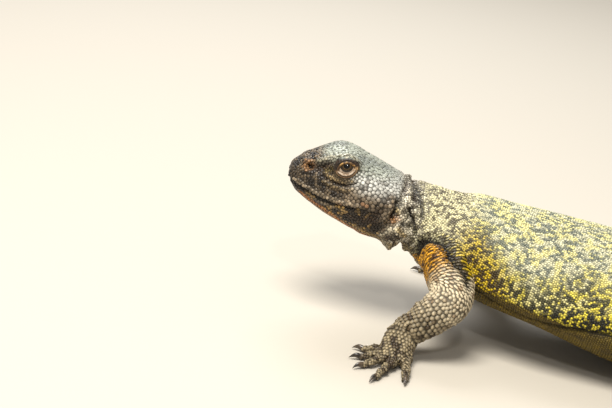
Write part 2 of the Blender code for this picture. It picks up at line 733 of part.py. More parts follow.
def make_limb(lengths, digits, names, side, clearance, paint):
    """Upper limb, lower limb and hand or foot, with a claw for each digit."""
    lines = [np.array([(*p, wide, high) for p, wide, high in length]) for length in lengths]
    nodes = [limb_loft(f"{name}_{side}", line, paint) for name, line in zip(names, lines)]
    boolean(nodes[0], loft("torso clearance", clearance, paint), "DIFFERENCE")
    for near, far in ((0, 1), (1, 2)):
        joint = Vector(lines[far][0, :3])
        before = (joint - Vector(lines[near][-2, :3])).normalized()
        after = (Vector(lines[far][1, :3]) - joint).normalized()
        way = (before + after).normalized()
        trim(nodes[near], joint, way)
        trim(nodes[far], joint, -way)

    palm = nodes[2]
    centre, along = limb_ring(lines[2], len(lines[2]) - PALM_MIDDLE)[:2]
    ahead = Vector((along.x, along.y, 0)).normalized()
    # The inner digit lies towards the head on both sides of the body.
    outer = Vector((ahead.y, -ahead.x, 0)) * (-1 if side == "left" else 1)
    pieces = []
    for n, (angle, length) in enumerate(digits):
        knuckle = centre + outer * DIGIT_ROOTS[n] - ahead * DIGIT_SETBACK[n]
        reach = length + DIGIT_SETBACK[n] / 2 + DIGIT_INSIDE
        pieces.append(digit_loft(knuckle, angle, reach, paint))
        claw_loft(f"claw_{names[2]}_{side}_{n + 1}", knuckle, angle, reach)
    fuse(palm, pieces)
    cut_at_floor(palm)


def centre_on_origin():
    """Moves the whole animal so that the middle of its footprint is the origin."""
    nodes = [obj for obj in bpy.data.objects if obj.type == "MESH"]
    corners = np.array([v.co for obj in nodes for v in obj.data.vertices])
    middle = (corners.min(0) + corners.max(0)) / 2
    shift = Matrix.Translation((-middle[0], -middle[1], 0))
    for obj in nodes:
        obj.data.transform(shift)


def main():
    clear_scene()
    matrix = head_matrix()
    line = body_line(matrix)
    torso_length("neck", line, NECK_START, NECK_END)
    make_head(matrix)
    torso_length("chest", line, NECK_END, CHEST_END)
    cut_at_floor(torso_length("belly", line, CHEST_END, BELLY_END))
    cut_at_floor(torso_length("pelvis", line, BELLY_END, PELVIS_END))
    make_tail(line)

    clear = torso_rings(line, NECK_START, NECK_END, GAP) + torso_rings(line, NECK_END, PELVIS_END, GAP)[1:]
    arm = ("upper_arm", "forearm", "hand")
    leg = ("thigh", "shank", "foot")
    make_limb(ARM_LEFT, HAND_LEFT_DIGITS, arm, "left", clear, "limb skin")
    make_limb(ARM_RIGHT, HAND_RIGHT_DIGITS, arm, "right", clear, "limb skin")
    make_limb(LEG_LEFT, FOOT_LEFT_DIGITS, leg, "left", clear, "limb skin")
    make_limb(LEG_RIGHT, FOOT_RIGHT_DIGITS, leg, "right", clear, "limb skin")
    centre_on_origin()


main()
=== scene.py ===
"""Looks of a spiny-tailed agama lizard: one skin with its scales, lids, eyes, claws and spines.

Sizes are millimetres in the animal's own frame: it faces -X, its left side faces -Y and the
floor is z = 0. The outlines repeat those of the solids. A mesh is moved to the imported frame,
in metres, when it is made.
"""

from math import cos, pi, radians, sin, tau

import bpy
import numpy as np
from mathutils import Matrix, Vector
from mathutils.bvhtree import BVHTree
from mathutils.kdtree import KDTree


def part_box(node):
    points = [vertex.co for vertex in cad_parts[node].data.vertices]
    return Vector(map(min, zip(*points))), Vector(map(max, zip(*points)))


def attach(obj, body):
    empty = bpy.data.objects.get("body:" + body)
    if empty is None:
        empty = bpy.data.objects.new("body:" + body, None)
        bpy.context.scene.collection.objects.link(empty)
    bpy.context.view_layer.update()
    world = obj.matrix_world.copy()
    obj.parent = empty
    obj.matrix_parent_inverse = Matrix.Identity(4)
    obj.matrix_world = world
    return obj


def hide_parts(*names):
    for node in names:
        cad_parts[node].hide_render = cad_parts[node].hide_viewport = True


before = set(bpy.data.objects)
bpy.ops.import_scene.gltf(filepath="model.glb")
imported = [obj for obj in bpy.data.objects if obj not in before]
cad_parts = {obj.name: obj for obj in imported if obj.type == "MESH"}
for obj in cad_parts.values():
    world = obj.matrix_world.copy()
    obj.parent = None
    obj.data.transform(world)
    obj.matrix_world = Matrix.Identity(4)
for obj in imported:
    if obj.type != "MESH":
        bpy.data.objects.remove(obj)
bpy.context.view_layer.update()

MM = 0.001
UP = Vector((0, 0, 1))
UPWARD = np.array(UP)

# Camera and light
CAMERA_TARGET = (-42.26, -15.44, 36.51)
CAMERA_AZIMUTH = radians(12.57)
CAMERA_ELEVATION = radians(17.78)
CAMERA_ROLL = radians(7.56)
CAMERA_DISTANCE = 561.6
CAMERA_LENS = 100.0

# Head, in its own frame: u runs back from the snout tip, v to the animal's right, w up from
# the line of the mouth.
HEAD_LENGTH = 42.0
NAPE = Vector((-9.5, -1.2, 37.5))
HEAD_PITCH = radians(9)
HEAD_YAW = radians(13)
HEAD_ROLL = radians(-2)
# u, half width, top, bottom, squareness above the mouth, squareness below it
HEAD_STATIONS = np.array((
    (0.0, 4.6, 5.2, -1.8, 2.3, 2.2),
    (1.6, 7.0, 7.6, -3.8, 2.3, 2.2),
    (5.0, 9.2, 10.4, -5.8, 2.4, 2.2),
    (9.0, 11.0, 13.2, -7.5, 2.7, 2.2),
    (13.0, 12.8, 15.2, -8.9, 3.0, 2.3),
    (18.0, 14.8, 15.1, -10.2, 3.1, 2.3),
    (24.0, 16.8, 13.4, -11.4, 2.8, 2.4),
    (30.0, 17.6, 11.8, -11.9, 2.5, 2.5),
    (36.0, 16.8, 10.4, -11.2, 2.3, 2.4),
    (42.0, 15.2, 9.6, -10.2, 2.2, 2.2),
    (50.0, 14.8, 9.4, -10.0, 2.2, 2.2),
))
HEAD_MIDDLE_W = 1.2
NAPE_OVERLAP = 2.5
# u and w of the line of the mouth
MOUTH_LINE = np.array((
    (-6.0, 0.4), (0.0, 0.0), (6.0, -1.5), (13.0, -2.3), (20.0, -1.6), (26.0, 0.2), (32.0, 1.2),
))
MOUTH_END = 26.0
NOSTRIL_CENTRE = (4.4, 6.4, 6.6)
NOSTRIL_RIM = 2.3

# Eyes: the way they look is given as u, outwards, w.
EYE_CENTRE = (16.6, 10.9, 10.0)
EYE_RADIUS = 4.2
CORNEA_HEIGHT = 0.12
EYE_TURN = radians(14)
GAZE = (-0.14, 0.89, 0.42)
# Lids: half sizes of the opening and of the outer edge, how far the opening lies below the
# middle of the eye, and how far its slit rises to the rear
LID_RADIUS = 5.1
LID_OPENING = (2.75, 1.9)
LID_OUTER = (4.9, 4.5)
LID_DROP = 0.4
LID_TILT = radians(27)
# Place from the edge of the opening outwards, and height over the eyeball
LID_PROFILE = (
    (0.0, -0.12), (0.02, 0.28), (0.07, 0.62), (0.14, 0.74), (0.22, 0.62), (0.28, 0.36),
    (0.34, 0.3), (0.42, 0.58), (0.5, 0.66), (0.58, 0.5), (0.63, 0.42), (0.7, 0.58),
    (0.78, 0.66), (0.86, 0.56), (0.93, 0.4), (1.0, 0.1),
)
# The hollow of the skin under the lids: its half sizes, and how near the middle of the eye it
# comes. The scales leave a slightly larger part bare.
HOLLOW_SIZE = (3.9, 3.3)
HOLLOW_REACH = 2.4
BARE_SIZE = (4.1, 3.6)
LID_MARGIN = 2.5
# The right eye stands out less, with a lower brow and a flatter upper lid
FAR_BROW_DROP, FAR_LID_DROP = 1.2, 0.3
FAR_EYE_SHIFT = (0.2, -0.3, -0.8)

# Body and tail: x, y, top z, bottom z, half width.
BODY_STATIONS = (
    (4.0, 0.0, 46.8, 18.4, 21.0),
    (20.0, 0.6, 44.6, 12.2, 26.4),
    (42.0, 1.0, 42.6, 8.2, 31.6),
    (66.0, 1.0, 40.8, 2.4, 34.0),
    (90.0, 0.6, 37.4, -1.2, 33.0),
    (110.0, 0.0, 32.6, -1.1, 27.0),
    (126.0, -0.4, 27.0, -0.9, 19.6),
    (140.0, -1.2, 22.6, -0.8, 16.2),
    (152.0, -2.6, 18.6, -0.7, 15.0),
    (178.0, -8.0, 15.2, -0.6, 13.6),
    (206.0, -17.0, 13.0, -0.5, 11.2),
    (232.0, -26.5, 10.4, -0.5, 8.2),
    (254.0, -33.0, 7.2, -0.4, 4.9),
    (266.0, -35.6, 4.8, -0.3, 2.6),
)
BACK_SHARE = 0.58
BACK_SQUARENESS, BELLY_SQUARENESS = 2.2, 1.9
# Places along the body count its stations: 0 is the nape and 14 the last one.
NECK_START, NECK_END, BODY_END = -0.2, 1.1, 14.0
THROAT_FOLD_U, THROAT_FOLD_HEIGHT = 38.6, 4.2
THROAT_FOLD_AHEAD, THROAT_FOLD_BEHIND = 3.6, 1.6
# Place and height of each fold round the neck
NECK_FOLDS = ((0.22, 3.2), (0.52, 1.6), (0.8, 1.2))
NECK_FOLD_WIDTH = 0.1
NECK_FOLD_ABOVE = 0.12
NECK_CREST = 0.4
TRUNK_MIDDLE_Y = 0.6
TRUNK_END_X = 112

# Limbs: half width and half height at each station, and the names of the three lengths
LIMB_KINDS = {
    "arm": (
        ((8.0, 8.2), (7.2, 7.6), (6.9, 6.7), (6.1, 5.9), (5.6, 4.4), (5.4, 3.4), (5.2, 2.4)),
        ("upper_arm", "forearm", "hand"),
    ),
    "leg": (
        ((10.6, 10.2), (9.6, 9.2), (7.0, 6.8), (6.6, 6.2), (4.6, 4.4), (5.4, 3.3), (5.8, 2.5)),
        ("thigh", "shank", "foot"),
    ),
}
# Stations of the centre line, and the digits from inner to outer: the way each points on the
# floor in degrees, counted from +X towards +Y, and its length without the claw
LIMBS = {
    "arm_left": (
        (
            (2.0, -9.0, 29.5), (7.0, -21.5, 28.0), (12.2, -33.0, 20.0), (6.0, -36.2, 13.4),
            (0.2, -38.6, 8.0), (-0.8, -43.0, 4.9), (-1.5, -48.0, 2.7),
        ),
        ((172, 2.1), (200, 4.7), (226, 7.9), (254, 12.3), (280, 9.3)),
    ),
    "arm_right": (
        (
            (3.0, 9.0, 29.5), (9.4, 21.5, 27.4), (16.0, 33.0, 19.6), (9.2, 37.0, 13.4),
            (2.8, 40.2, 8.0), (1.0, 44.6, 4.9), (-1.0, 49.4, 2.7),
        ),
        ((176, 2.1), (152, 4.9), (128, 8.1), (104, 11.9), (76, 9.3)),
    ),
    "leg_left": (
        (
            (124.0, -5.0, 14.5), (114.0, -25.0, 15.0), (104.0, -42.0, 13.6), (115.0, -46.5, 10.2),
            (129.0, -52.0, 6.0), (123.5, -59.5, 3.8), (118.0, -66.5, 2.7),
        ),
        ((178, 8.3), (204, 11.3), (222, 14.3), (239, 15.8), (268, 10.8)),
    ),
    "leg_right": (
        (
            (124.0, 5.0, 14.5), (117.0, 25.0, 15.0), (108.0, 42.0, 13.6), (119.5, 46.0, 10.2),
            (134.0, 51.0, 6.0), (129.5, 59.0, 3.8), (124.5, 66.5, 2.7),
        ),
        ((180, 8.3), (155, 11.3), (137, 14.3), (120, 15.8), (92, 10.8)),
    ),
}
# How far outwards and how far back the knuckle of each digit lies, from inner to outer
DIGIT_ROOTS = (-4.3, -2.3, -0.1, 2.1, 4.0)
DIGIT_SETBACK = (3.4, 0.8, 0.0, 0.6, 2.6)
KNUCKLE_SHARE = 0.65
# Four places along a digit as shares of its length, and its radius and height there
DIGIT_PLACES = np.array((0.0, 0.35, 0.7, 1.0))
DIGIT_RADII = (1.9, 1.5, 1.4, 1.15)
DIGIT_HEIGHTS = (2.4, 2.7, 1.9, 1.1)
DIGIT_SUNK = 3
DIGIT_TIP = 1.2
CLAW_GAP, CLAW_LENGTH, CLAW_RADIUS = 0.3, 3.5, 0.95

# Skin
VOXEL = 0.5
SMOOTH_PASSES = 6
COAT_DEPTH = 0.35
SKIN_CLEARANCE, HORN_CLEARANCE = 0.05, 0.02
# Skin as low as this that faces down rests on the floor and has no scales
RESTING_Z, RESTING_SLOPE = 1.0, -0.6
# How near two scales may stand, as a share of their size: in rows, over the head and where they
# fill bare skin. Skin is bare when the nearest scale is farther away than BARE_SHARE of its size.
ROW_SPACING, HEAD_SPACING, FILL_SPACING = 0.6, 0.78, 0.85
BARE_SHARE = 0.78
HEAD_TRIES = 36000
ROOT_REACH = 2.6
# How often the head's scales are pushed apart, from how far and by which share of the overlap
SPREAD_PASSES, PUSH_REACH, PUSH_SHARE = 4, 1.32, 0.3
# Height of a scale for its size, and how much the scales differ in tone
SCALE_HEIGHT = 0.3
TONE_SPREAD = 0.11
# Painted shade: how dark the skin is between the scales of the head, the body and the limbs
HEAD_GAP_SHADE, BODY_GAP_SHADE, LIMB_GAP_SHADE = 0.3, 0.42, 0.17
# Size on the map of the patch of one scale
PATCH = 0.0015

# The pieces of the body's coat: where each one ends, and its slot
COAT_START = -1.0
BODY_COATS = (
    ("neck", 1.1, "speckled_skin"),
    ("chest", 2.6, "speckled_skin"),
    ("flank", 3.7, "speckled_skin"),
    ("belly", 5.0, "speckled_skin"),
    ("pelvis", 8.35, "speckled_skin"),
    ("tail", 14.2, "tail_skin"),
)
# The upper share of a limb's length has banded scales.
BAND_SHARE = 0.5
# Length and width of the scales for their pitch, and their height for the usual height.
COAT_SIZES = {
    "band": (0.8, 1.26, 1.3),
    "slate_skin": (1.14, 1.14, 0.62),
    "speckled_skin": (1.06, 1.06, 1.0),
    "tail_skin": (1.12, 1.12, 1.0),
    "limb_skin": (1.2, 1.08, 1.2),
}

# Tail whorls
WHORLS = 17
WHORL_FIRST, WHORL_LAST = 8.75, 13.86
SPINE_LENGTH = 0.62
SPINE_RISE = radians(21)
SPINE_LOWEST = radians(-26)


def srgb(r, g, b):
    """A colour from its screen values, as linear light."""
    c = np.array((r, g, b)) / 255
    return np.where(c <= 0.04045, c / 12.92, ((c + 0.055) / 1.055) ** 2.4)


def through(knots, values, at):
    """Smooth curve through the values at the knots, read at the places in at."""
    knots, values, at = np.asarray(knots, float), np.asarray(values, float), np.asarray(at, float)
    slopes = np.gradient(values, knots, axis=0)
    i = np.clip(np.searchsorted(knots, at) - 1, 0, len(knots) - 2)
    step = knots[i + 1] - knots[i]
    t = (at - knots[i]) / step
    if values.ndim > 1:
        t, step = t[..., None], step[..., None]
    return (
        (2 * t**3 - 3 * t**2 + 1) * values[i]
        + (t**3 - 2 * t**2 + t) * step * slopes[i]
        + (3 * t**2 - 2 * t**3) * values[i + 1]
        + (t**3 - t**2) * step * slopes[i + 1]
    )


def unit(v):
    return v / np.maximum(np.linalg.norm(v, axis=-1, keepdims=True), 1e-9)


def dot(a, b):
    return (a * b).sum(axis=-1, keepdims=True)


def ramp(low, high, x):
    """0 up to low, 1 from high on, smooth between them. Low may be the greater."""
    t = np.clip((x - low) / (high - low), 0, 1)
    return t * t * (3 - 2 * t)


def mix(a, b, share):
    return a + (b - a) * np.asarray(share)[..., None]


def bell(x):
    """1 where x is 0, and smoothly down to 0 on both sides."""
    return np.exp(-(x**2))


def noise(p, seed=0):
    """Smooth noise from 0 to 1 with one cell to each unit of p."""
    cell = np.floor(p).astype(np.int64)
    t = p - cell
    t = t * t * (3 - 2 * t)
    total = np.zeros(len(p))
    for corner in np.ndindex(2, 2, 2):
        c = cell + corner
        h = (c[:, 0] * 73856093) ^ (c[:, 1] * 19349663) ^ (c[:, 2] * 83492791) ^ (seed * 97561)
        h = (h ^ (h >> 13)) * 1274126177 & 0xFFFFFFFF
        value = ((h ^ (h >> 16)) & 0xFFFF) / 0xFFFF
        total += value * np.prod(np.where(corner, t, 1 - t), axis=1)
    return total


def rough(p, seed=0):
    """Noise of two sizes."""
    return 0.65 * noise(p, seed) + 0.35 * noise(p * 2.13, seed + 5)


def section(turn, half, top, bottom, above=2.2, below=2.2):
    """Across and up of a rounded outline at a turn counted from its right side over its top."""
    c, s = np.cos(turn), np.sin(turn)
    power = 2 / np.where(s >= 0, above, below)
    across = half * np.sign(c) * np.abs(c) ** power
    up = np.where(s >= 0, top, bottom) * np.sign(s) * np.abs(s) ** power
    return across[..., None], up[..., None]


def head_matrix():
    """Takes the head's own u, v, w to the animal's frame."""
    ahead = Vector(
        (-cos(HEAD_YAW) * cos(HEAD_PITCH), -sin(HEAD_YAW) * cos(HEAD_PITCH), sin(HEAD_PITCH))
    )
    level = ahead.cross(UP).normalized()
    upright = level.cross(ahead)
    right = level * cos(HEAD_ROLL) + upright * sin(HEAD_ROLL)
    turn = Matrix((-ahead, right, right.cross(ahead))).transposed().to_4x4()
    return Matrix.Translation(NAPE) @ turn @ Matrix.Translation((-HEAD_LENGTH, 0, 0))


HEAD = head_matrix()


def frame_shift():
    """From the animal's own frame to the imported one, by the middle of the left eye."""
    low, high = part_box("eye_left")
    left_eye = HEAD @ Vector((EYE_CENTRE[0], -EYE_CENTRE[1], EYE_CENTRE[2]))
    return np.array((low + high) / 2) / MM - np.array(left_eye)


SHIFT = frame_shift()


def moved(matrix, p):
    m = np.array(matrix)
    return p @ m[:3, :3].T + m[:3, 3]


def to_head(p):
    return moved(HEAD.inverted(), p)


def paired(at, turn):
    return np.broadcast_arrays(np.asarray(at, float), np.asarray(turn, float))


def head_outline(u, turn):
    u, turn = paired(u, turn)
    row = through(HEAD_STATIONS[:, 0], HEAD_STATIONS[:, 1:], u)
    half, top, bottom, above, below = np.moveaxis(row, -1, 0)
    across, up = section(turn, half, top - HEAD_MIDDLE_W, HEAD_MIDDLE_W - bottom, above, below)
    spoke = np.concatenate((0 * across, across, up), axis=-1)
    reach = np.where(u < THROAT_FOLD_U, THROAT_FOLD_AHEAD, THROAT_FOLD_BEHIND)
    fold = THROAT_FOLD_HEIGHT * bell((u - THROAT_FOLD_U) / reach)
    spoke = spoke + unit(spoke) * (fold * np.maximum(0, -np.sin(turn)))[..., None]
    middle = np.stack((u, 0 * u, 0 * u + HEAD_MIDDLE_W), axis=-1)
    return moved(HEAD, middle + spoke)


def body_line():
    """Centre, half width, top, bottom and roll of the body at each of its stations."""
    rows = []
    for u in (HEAD_LENGTH - 12, HEAD_LENGTH):
        half, top, bottom = through(HEAD_STATIONS[:, 0], HEAD_STATIONS[:, 1:4], [u])[0]
        centre = HEAD @ Vector((u, 0, HEAD_MIDDLE_W))
        rows.append((*centre, half, top - HEAD_MIDDLE_W, HEAD_MIDDLE_W - bottom, HEAD_ROLL))
    for x, y, top, bottom, half in BODY_STATIONS:
        height = top - bottom
        middle = top - height * BACK_SHARE
        rows.append((x, y, middle, half, height * BACK_SHARE, height * (1 - BACK_SHARE), 0.0))
    return np.array(rows)


BODY_LINE = body_line()
BODY_KNOTS = np.arange(len(BODY_LINE)) - 1.0


def body_outline(at, turn):
    at, turn = paired(at, turn)
    row = through(BODY_KNOTS, BODY_LINE, at)
    ahead = through(BODY_KNOTS, BODY_LINE[:, :3], at + 0.02)
    behind = through(BODY_KNOTS, BODY_LINE[:, :3], at - 0.02)
    along = unit(ahead - behind)
    side = unit(np.cross(UPWARD, along))
    roll = row[..., 6:7]
    side = side * np.cos(roll) + np.cross(along, side) * np.sin(roll)
    lift = np.cross(along, side)
    half, top, bottom = np.moveaxis(row[..., 3:6], -1, 0)
    across, up = section(turn, half, top, bottom, BACK_SQUARENESS, BELLY_SQUARENESS)
    spoke = side * across + lift * up
    swell = sum(high * bell((at - fold) / NECK_FOLD_WIDTH) for fold, high in NECK_FOLDS)
    swell = swell * np.clip(np.minimum(at / 0.1, (NECK_END - at) / 0.2), 0, 1)
    crest = NECK_CREST * np.sin(pi * np.clip(at / NECK_END, 0, 1))
    out = swell * np.maximum(NECK_FOLD_ABOVE, -np.sin(turn)) + crest * np.maximum(0, np.sin(turn))
    return row[..., :3] + spoke + unit(spoke) * out[..., None]


def chord_knots(points):
    steps = np.linalg.norm(np.diff(points, axis=0), axis=1)
    return np.concatenate(([0], np.cumsum(steps)))


def limb_outline(line, sizes):
    """The outline function of a limb, whose places are millimetres along its line, and its length."""
    table = np.column_stack((line, sizes))
    knots = chord_knots(table[:, :3])

    def outline(at, turn):
        at, turn = paired(at, turn)
        row = through(knots, table, np.clip(at, 0, knots[-1]))
        ahead = through(knots, table[:, :3], np.clip(at + 1.5, 0, knots[-1]))
        behind = through(knots, table[:, :3], np.clip(at - 1.5, 0, knots[-1]))
        along = unit(ahead - behind)
        side = unit(np.cross(along, UPWARD))
        lift = np.cross(side, along)
        past = np.maximum(at - knots[-1], 0) + np.minimum(at, 0)
        wide, high = row[..., 3], row[..., 4]
        shrink = np.sqrt(np.clip(1 - (past / ((wide + high) / 2)) ** 2, 0.001, 1))
        across, up = section(turn, wide * shrink, high * shrink, high * shrink)
        return row[..., :3] + along * past[..., None] + side * across + lift * up

    return outline, knots[-1]


def digit_points(knuckle, angle, length):
    """Points of a digit's centre line, and the way it points."""
    way = np.array((cos(radians(angle)), sin(radians(angle)), 0))
    points = np.outer(DIGIT_PLACES * length, way) + (knuckle[0], knuckle[1], 0)
    points[:, 2] = DIGIT_HEIGHTS
    return points, way


def digit_outline(knuckle, angle, length):
    """The outline function of a digit with its three swellings, and its length."""
    points, way = digit_points(knuckle, angle, length)
    table = np.column_stack((points, DIGIT_RADII))
    knots = chord_knots(points)
    side = np.array((-way[1], way[0], 0))

    def outline(at, turn):
        at, turn = paired(at, turn)
        row = through(knots, table, np.clip(at, 0, knots[-1]))
        past = np.maximum(at - knots[-1], 0)
        knob = 1 + 0.07 * np.cos(tau * 3 * at / knots[-1])
        radius = row[..., 3] * knob * np.sqrt(np.clip(1 - (past / row[..., 3]) ** 2, 0.001, 1))
        across, up = section(turn, radius, radius, radius)
        return row[..., :3] + way * past[..., None] + side * across + UPWARD * up

    return outline, knots[-1]


class Tube:
    """A stretch of the animal as a rounded tube, with outline(at, turn) for points on it."""

    def __init__(self, name, outline, start, end, rings, sides, tip=0.0):
        self.name, self.outline, self.start, self.end = name, outline, start, end
        self.tip = tip
        self.digit = int(name[-1]) if name[-1].isdigit() else 0
        self.rings, self.sides = rings, sides
        self.at = np.linspace(start, end + tip, 300)
        middle = outline(self.at[:, None], np.linspace(0, tau, 17)[None, :-1]).mean(axis=1)
        self.along = chord_knots(middle)

    def grid(self):
        """Rings of points over the tube, with their places."""
        at = np.linspace(self.start, self.end + self.tip, self.rings)
        turn = np.linspace(0, tau, self.sides, endpoint=False)
        at, turn = np.meshgrid(at, turn, indexing="ij")
        return self.outline(at, turn), at, turn

    def distance(self, at):
        return np.interp(at, self.at, self.along)


def make_tubes():
    """The head, the body and tail, each limb and each digit."""
    tubes = [
        Tube("head", head_outline, 0.0, HEAD_LENGTH + NAPE_OVERLAP, 80, 96),
        Tube("body", body_outline, NECK_START, BODY_END, 300, 96),
    ]
    for name, (line, digits) in LIMBS.items():
        kind, side = name.split("_")
        sizes = LIMB_KINDS[kind][0]
        outline, length = limb_outline(line, sizes)
        # The rounded end stops just short of a point
        tubes.append(Tube(name, outline, 0.0, length, 90, 48, 0.98 * sizes[-1][0] * 0.7))
        before, last = np.array(line[-2:])
        centre = before + (last - before) * KNUCKLE_SHARE
        ahead = unit(np.array((*(centre - before)[:2], 0)))
        outer = np.array((ahead[1], -ahead[0], 0)) * (-1 if side == "left" else 1)
        for n, (angle, length) in enumerate(digits):
            knuckle = centre + outer * DIGIT_ROOTS[n] - ahead * DIGIT_SETBACK[n]
            reach = length + DIGIT_SETBACK[n] * 0.5 + DIGIT_SUNK
            outline, long = digit_outline(knuckle, angle, reach)
            tube = Tube(f"{name}_{n + 1}", outline, 0.0, long, 24, 20, DIGIT_TIP)
            tube.claw = digit_points(knuckle, angle, reach)
            tubes.append(tube)
    return tubes


def quads_between(index):
    """Quads between each closed row of points and the next row."""
    turned = np.roll(index, -1, axis=1)
    return np.stack((index[:-1], turned[:-1], turned[1:], index[1:]), axis=-1).reshape(-1, 4)


def shell(rings):
    """Points and faces of a closed skin over rings."""
    count, sides = rings.shape[:2]
    index = np.arange(count * sides).reshape(count, sides)
    faces = [*quads_between(index).tolist(), index[0][::-1].tolist(), index[-1].tolist()]
    return rings.reshape(-1, 3), faces


def ball(centre, radius):
    """Rings over a ball in the head's frame."""
    a = np.linspace(0.05, pi - 0.05, 24)[:, None]
    b = np.linspace(0, tau, 40, endpoint=False)[None]
    rings = np.stack((np.cos(a) + 0 * b, np.sin(a) * np.cos(b), np.sin(a) * np.sin(b)), axis=-1)
    return moved(HEAD, rings * radius + np.array(centre))


def placed(name, data):
    """A new object in the scene with this mesh, camera or light."""
    obj = bpy.data.objects.new(name, data)
    bpy.context.scene.collection.objects.link(obj)
    return obj


def remeshed(shells):
    """One skin round all the shells: points and quads."""
    points, faces, base = [], [], 0
    for rings in shells:
        p, f = shell(rings)
        points.append(p)
        faces += [[i + base for i in face] for face in f]
        base += len(p)
    mesh = bpy.data.meshes.new("rough_skin")
    mesh.from_pydata(np.concatenate(points), [], faces)
    obj = placed("rough_skin", mesh)
    remesh = obj.modifiers.new("remesh", "REMESH")
    remesh.mode = "VOXEL"
    remesh.voxel_size = VOXEL
    smooth = obj.modifiers.new("smooth", "SMOOTH")
    smooth.iterations = SMOOTH_PASSES
    graph = bpy.context.evaluated_depsgraph_get()
    done = obj.evaluated_get(graph).to_mesh()
    co = np.zeros(len(done.vertices) * 3, np.float32)
    done.vertices.foreach_get("co", co)
    quads = np.zeros(len(done.loops), np.int32)
    done.loops.foreach_get("vertex_index", quads)
    assert len(done.loops) == 4 * len(done.polygons)
    bpy.data.objects.remove(obj, do_unlink=True)
    return co.reshape(-1, 3).astype(float), quads.reshape(-1, 4)


def point_normals(points, quads):
    a, b, c, d = (points[quads[:, k]] for k in range(4))
    face = np.cross(c - a, d - b)
    total = np.zeros_like(points)
    for k in range(4):
        np.add.at(total, quads[:, k], face)
    return unit(total)


def tree_of(points):
    """A search tree over the points."""
    tree = KDTree(len(points))
    for i, p in enumerate(points):
        tree.insert(p, i)
    tree.balance()
    return tree


def line_distance(p, points):
    """How far each point lies from a line through the given points."""
    points = np.array(points, float)
    best = np.full(len(p), 1e9)
    for a, b in zip(points, points[1:]):
        t = np.clip(((p - a) @ (b - a)) / ((b - a) @ (b - a)), 0, 1)
        best = np.minimum(best, np.linalg.norm(p - a - t[:, None] * (b - a), axis=1))
    return best


# Colours
# Black is painted shade: in deep creases, the ear opening, the nostrils and the groove of the mouth
SHADE_BLACK = srgb(14, 12, 9)
BROWN_DARK = srgb(48, 34, 22)
OLIVE = srgb(104, 90, 48)
OLIVE_PALE = srgb(146, 124, 84)
CREAM = srgb(160, 154, 132)
LIP = srgb(164, 146, 120)
CROWN = srgb(142, 146, 134)
CROWN_SHADE = srgb(108, 112, 104)
CHEEK = srgb(174, 173, 166)
CHEEK_SHADE = srgb(74, 66, 56)
# The lower cheek: browner, and darker as painted shade
CHEEK_LOW_BROWN_SHADED = srgb(112, 98, 80)
CHEEK_LOW_BROWN_SHADED_DARK = srgb(50, 40, 29)
CHEEK_ORANGE = srgb(140, 98, 66)
SNOUT = srgb(100, 86, 67)
SNOUT_SHADE = srgb(31, 24, 17)
NOSTRIL_TAN = srgb(150, 112, 74)
JAW = srgb(28, 21, 12)
JAW_SPECK = srgb(176, 142, 82)
CHIN_STRIPE = srgb(186, 112, 32)
OCHRE = srgb(150, 98, 40)
OCHRE_PALE = srgb(196, 164, 84)
FOLD_PALE = srgb(222, 212, 186)
THROAT = srgb(170, 150, 108)
NECK = srgb(212, 204, 184)
NECK_SHADE = srgb(78, 68, 54)
BACK = srgb(228, 220, 152)
BACK_PALE = srgb(208, 205, 170)
BACK_BLOTCH = srgb(110, 116, 104)
FLANK = srgb(224, 208, 88)
FLANK_BLOTCH = srgb(78, 76, 48)
SIDE = srgb(226, 208, 62)
SIDE_BLOTCH = srgb(30, 28, 16)
SIDE_FRONT_BLOTCH = srgb(66, 48, 12)
SIDE_FRONT = srgb(198, 168, 14)
BELLY = srgb(138, 116, 30)
BELLY_SHADE = srgb(70, 58, 18)
ARM = srgb(218, 202, 170)
ARM_SHADE = srgb(150, 122, 90)
SHOULDER = srgb(222, 160, 34)
SHOULDER_SHADE = srgb(84, 50, 16)
FOREARM = srgb(168, 152, 122)
FOREARM_SHADE = srgb(84, 68, 46)
HAND = srgb(163, 147, 115)
HAND_SHADE = srgb(78, 64, 46)
THIGH = srgb(196, 184, 108)
THIGH_SHADE = srgb(62, 58, 40)
TAIL = srgb(170, 156, 112)
TAIL_SHADE = srgb(82, 72, 52)
# Eyes and lids
PUPIL = srgb(5, 4, 4)
IRIS = srgb(58, 44, 26)
IRIS_SHADE = srgb(26, 19, 12)
IRIS_INNER = srgb(96, 74, 40)
IRIS_EDGE = srgb(16, 12, 8)
EYE_PALE = srgb(168, 152, 136)
EYE_PALE_SHADE = srgb(120, 100, 80)
LID_PALE = srgb(164, 148, 130)
LID_PALE_SHADE = srgb(120, 98, 76)
LID_TAN = srgb(112, 86, 58)
LID_OLIVE = srgb(98, 84, 52)
LID_OLIVE_SHADE = srgb(52, 40, 26)
LID_GOLD = srgb(160, 124, 70)
LID_GOLD_SHADE = srgb(78, 56, 34)
LID_DARK = srgb(44, 32, 22)
LID_DARK_SHADE = srgb(26, 19, 13)
LID_CORNER = srgb(150, 120, 78)
# Claws and spines, and the floor
CLAW_DARK = srgb(28, 22, 18)
CLAW_PALE = srgb(92, 78, 62)
SPINE_TIP = srgb(186, 172, 128)
FLOOR_GREY = srgb(176, 170, 160)

# The ear opening, as points u, v, w of its line
EAR_HALF_WIDTH = 0.75
EAR_LINE = ((35.2, 15.6, 5.2), (35.4, 16.4, 2.6), (34.8, 17.0, 0.0))
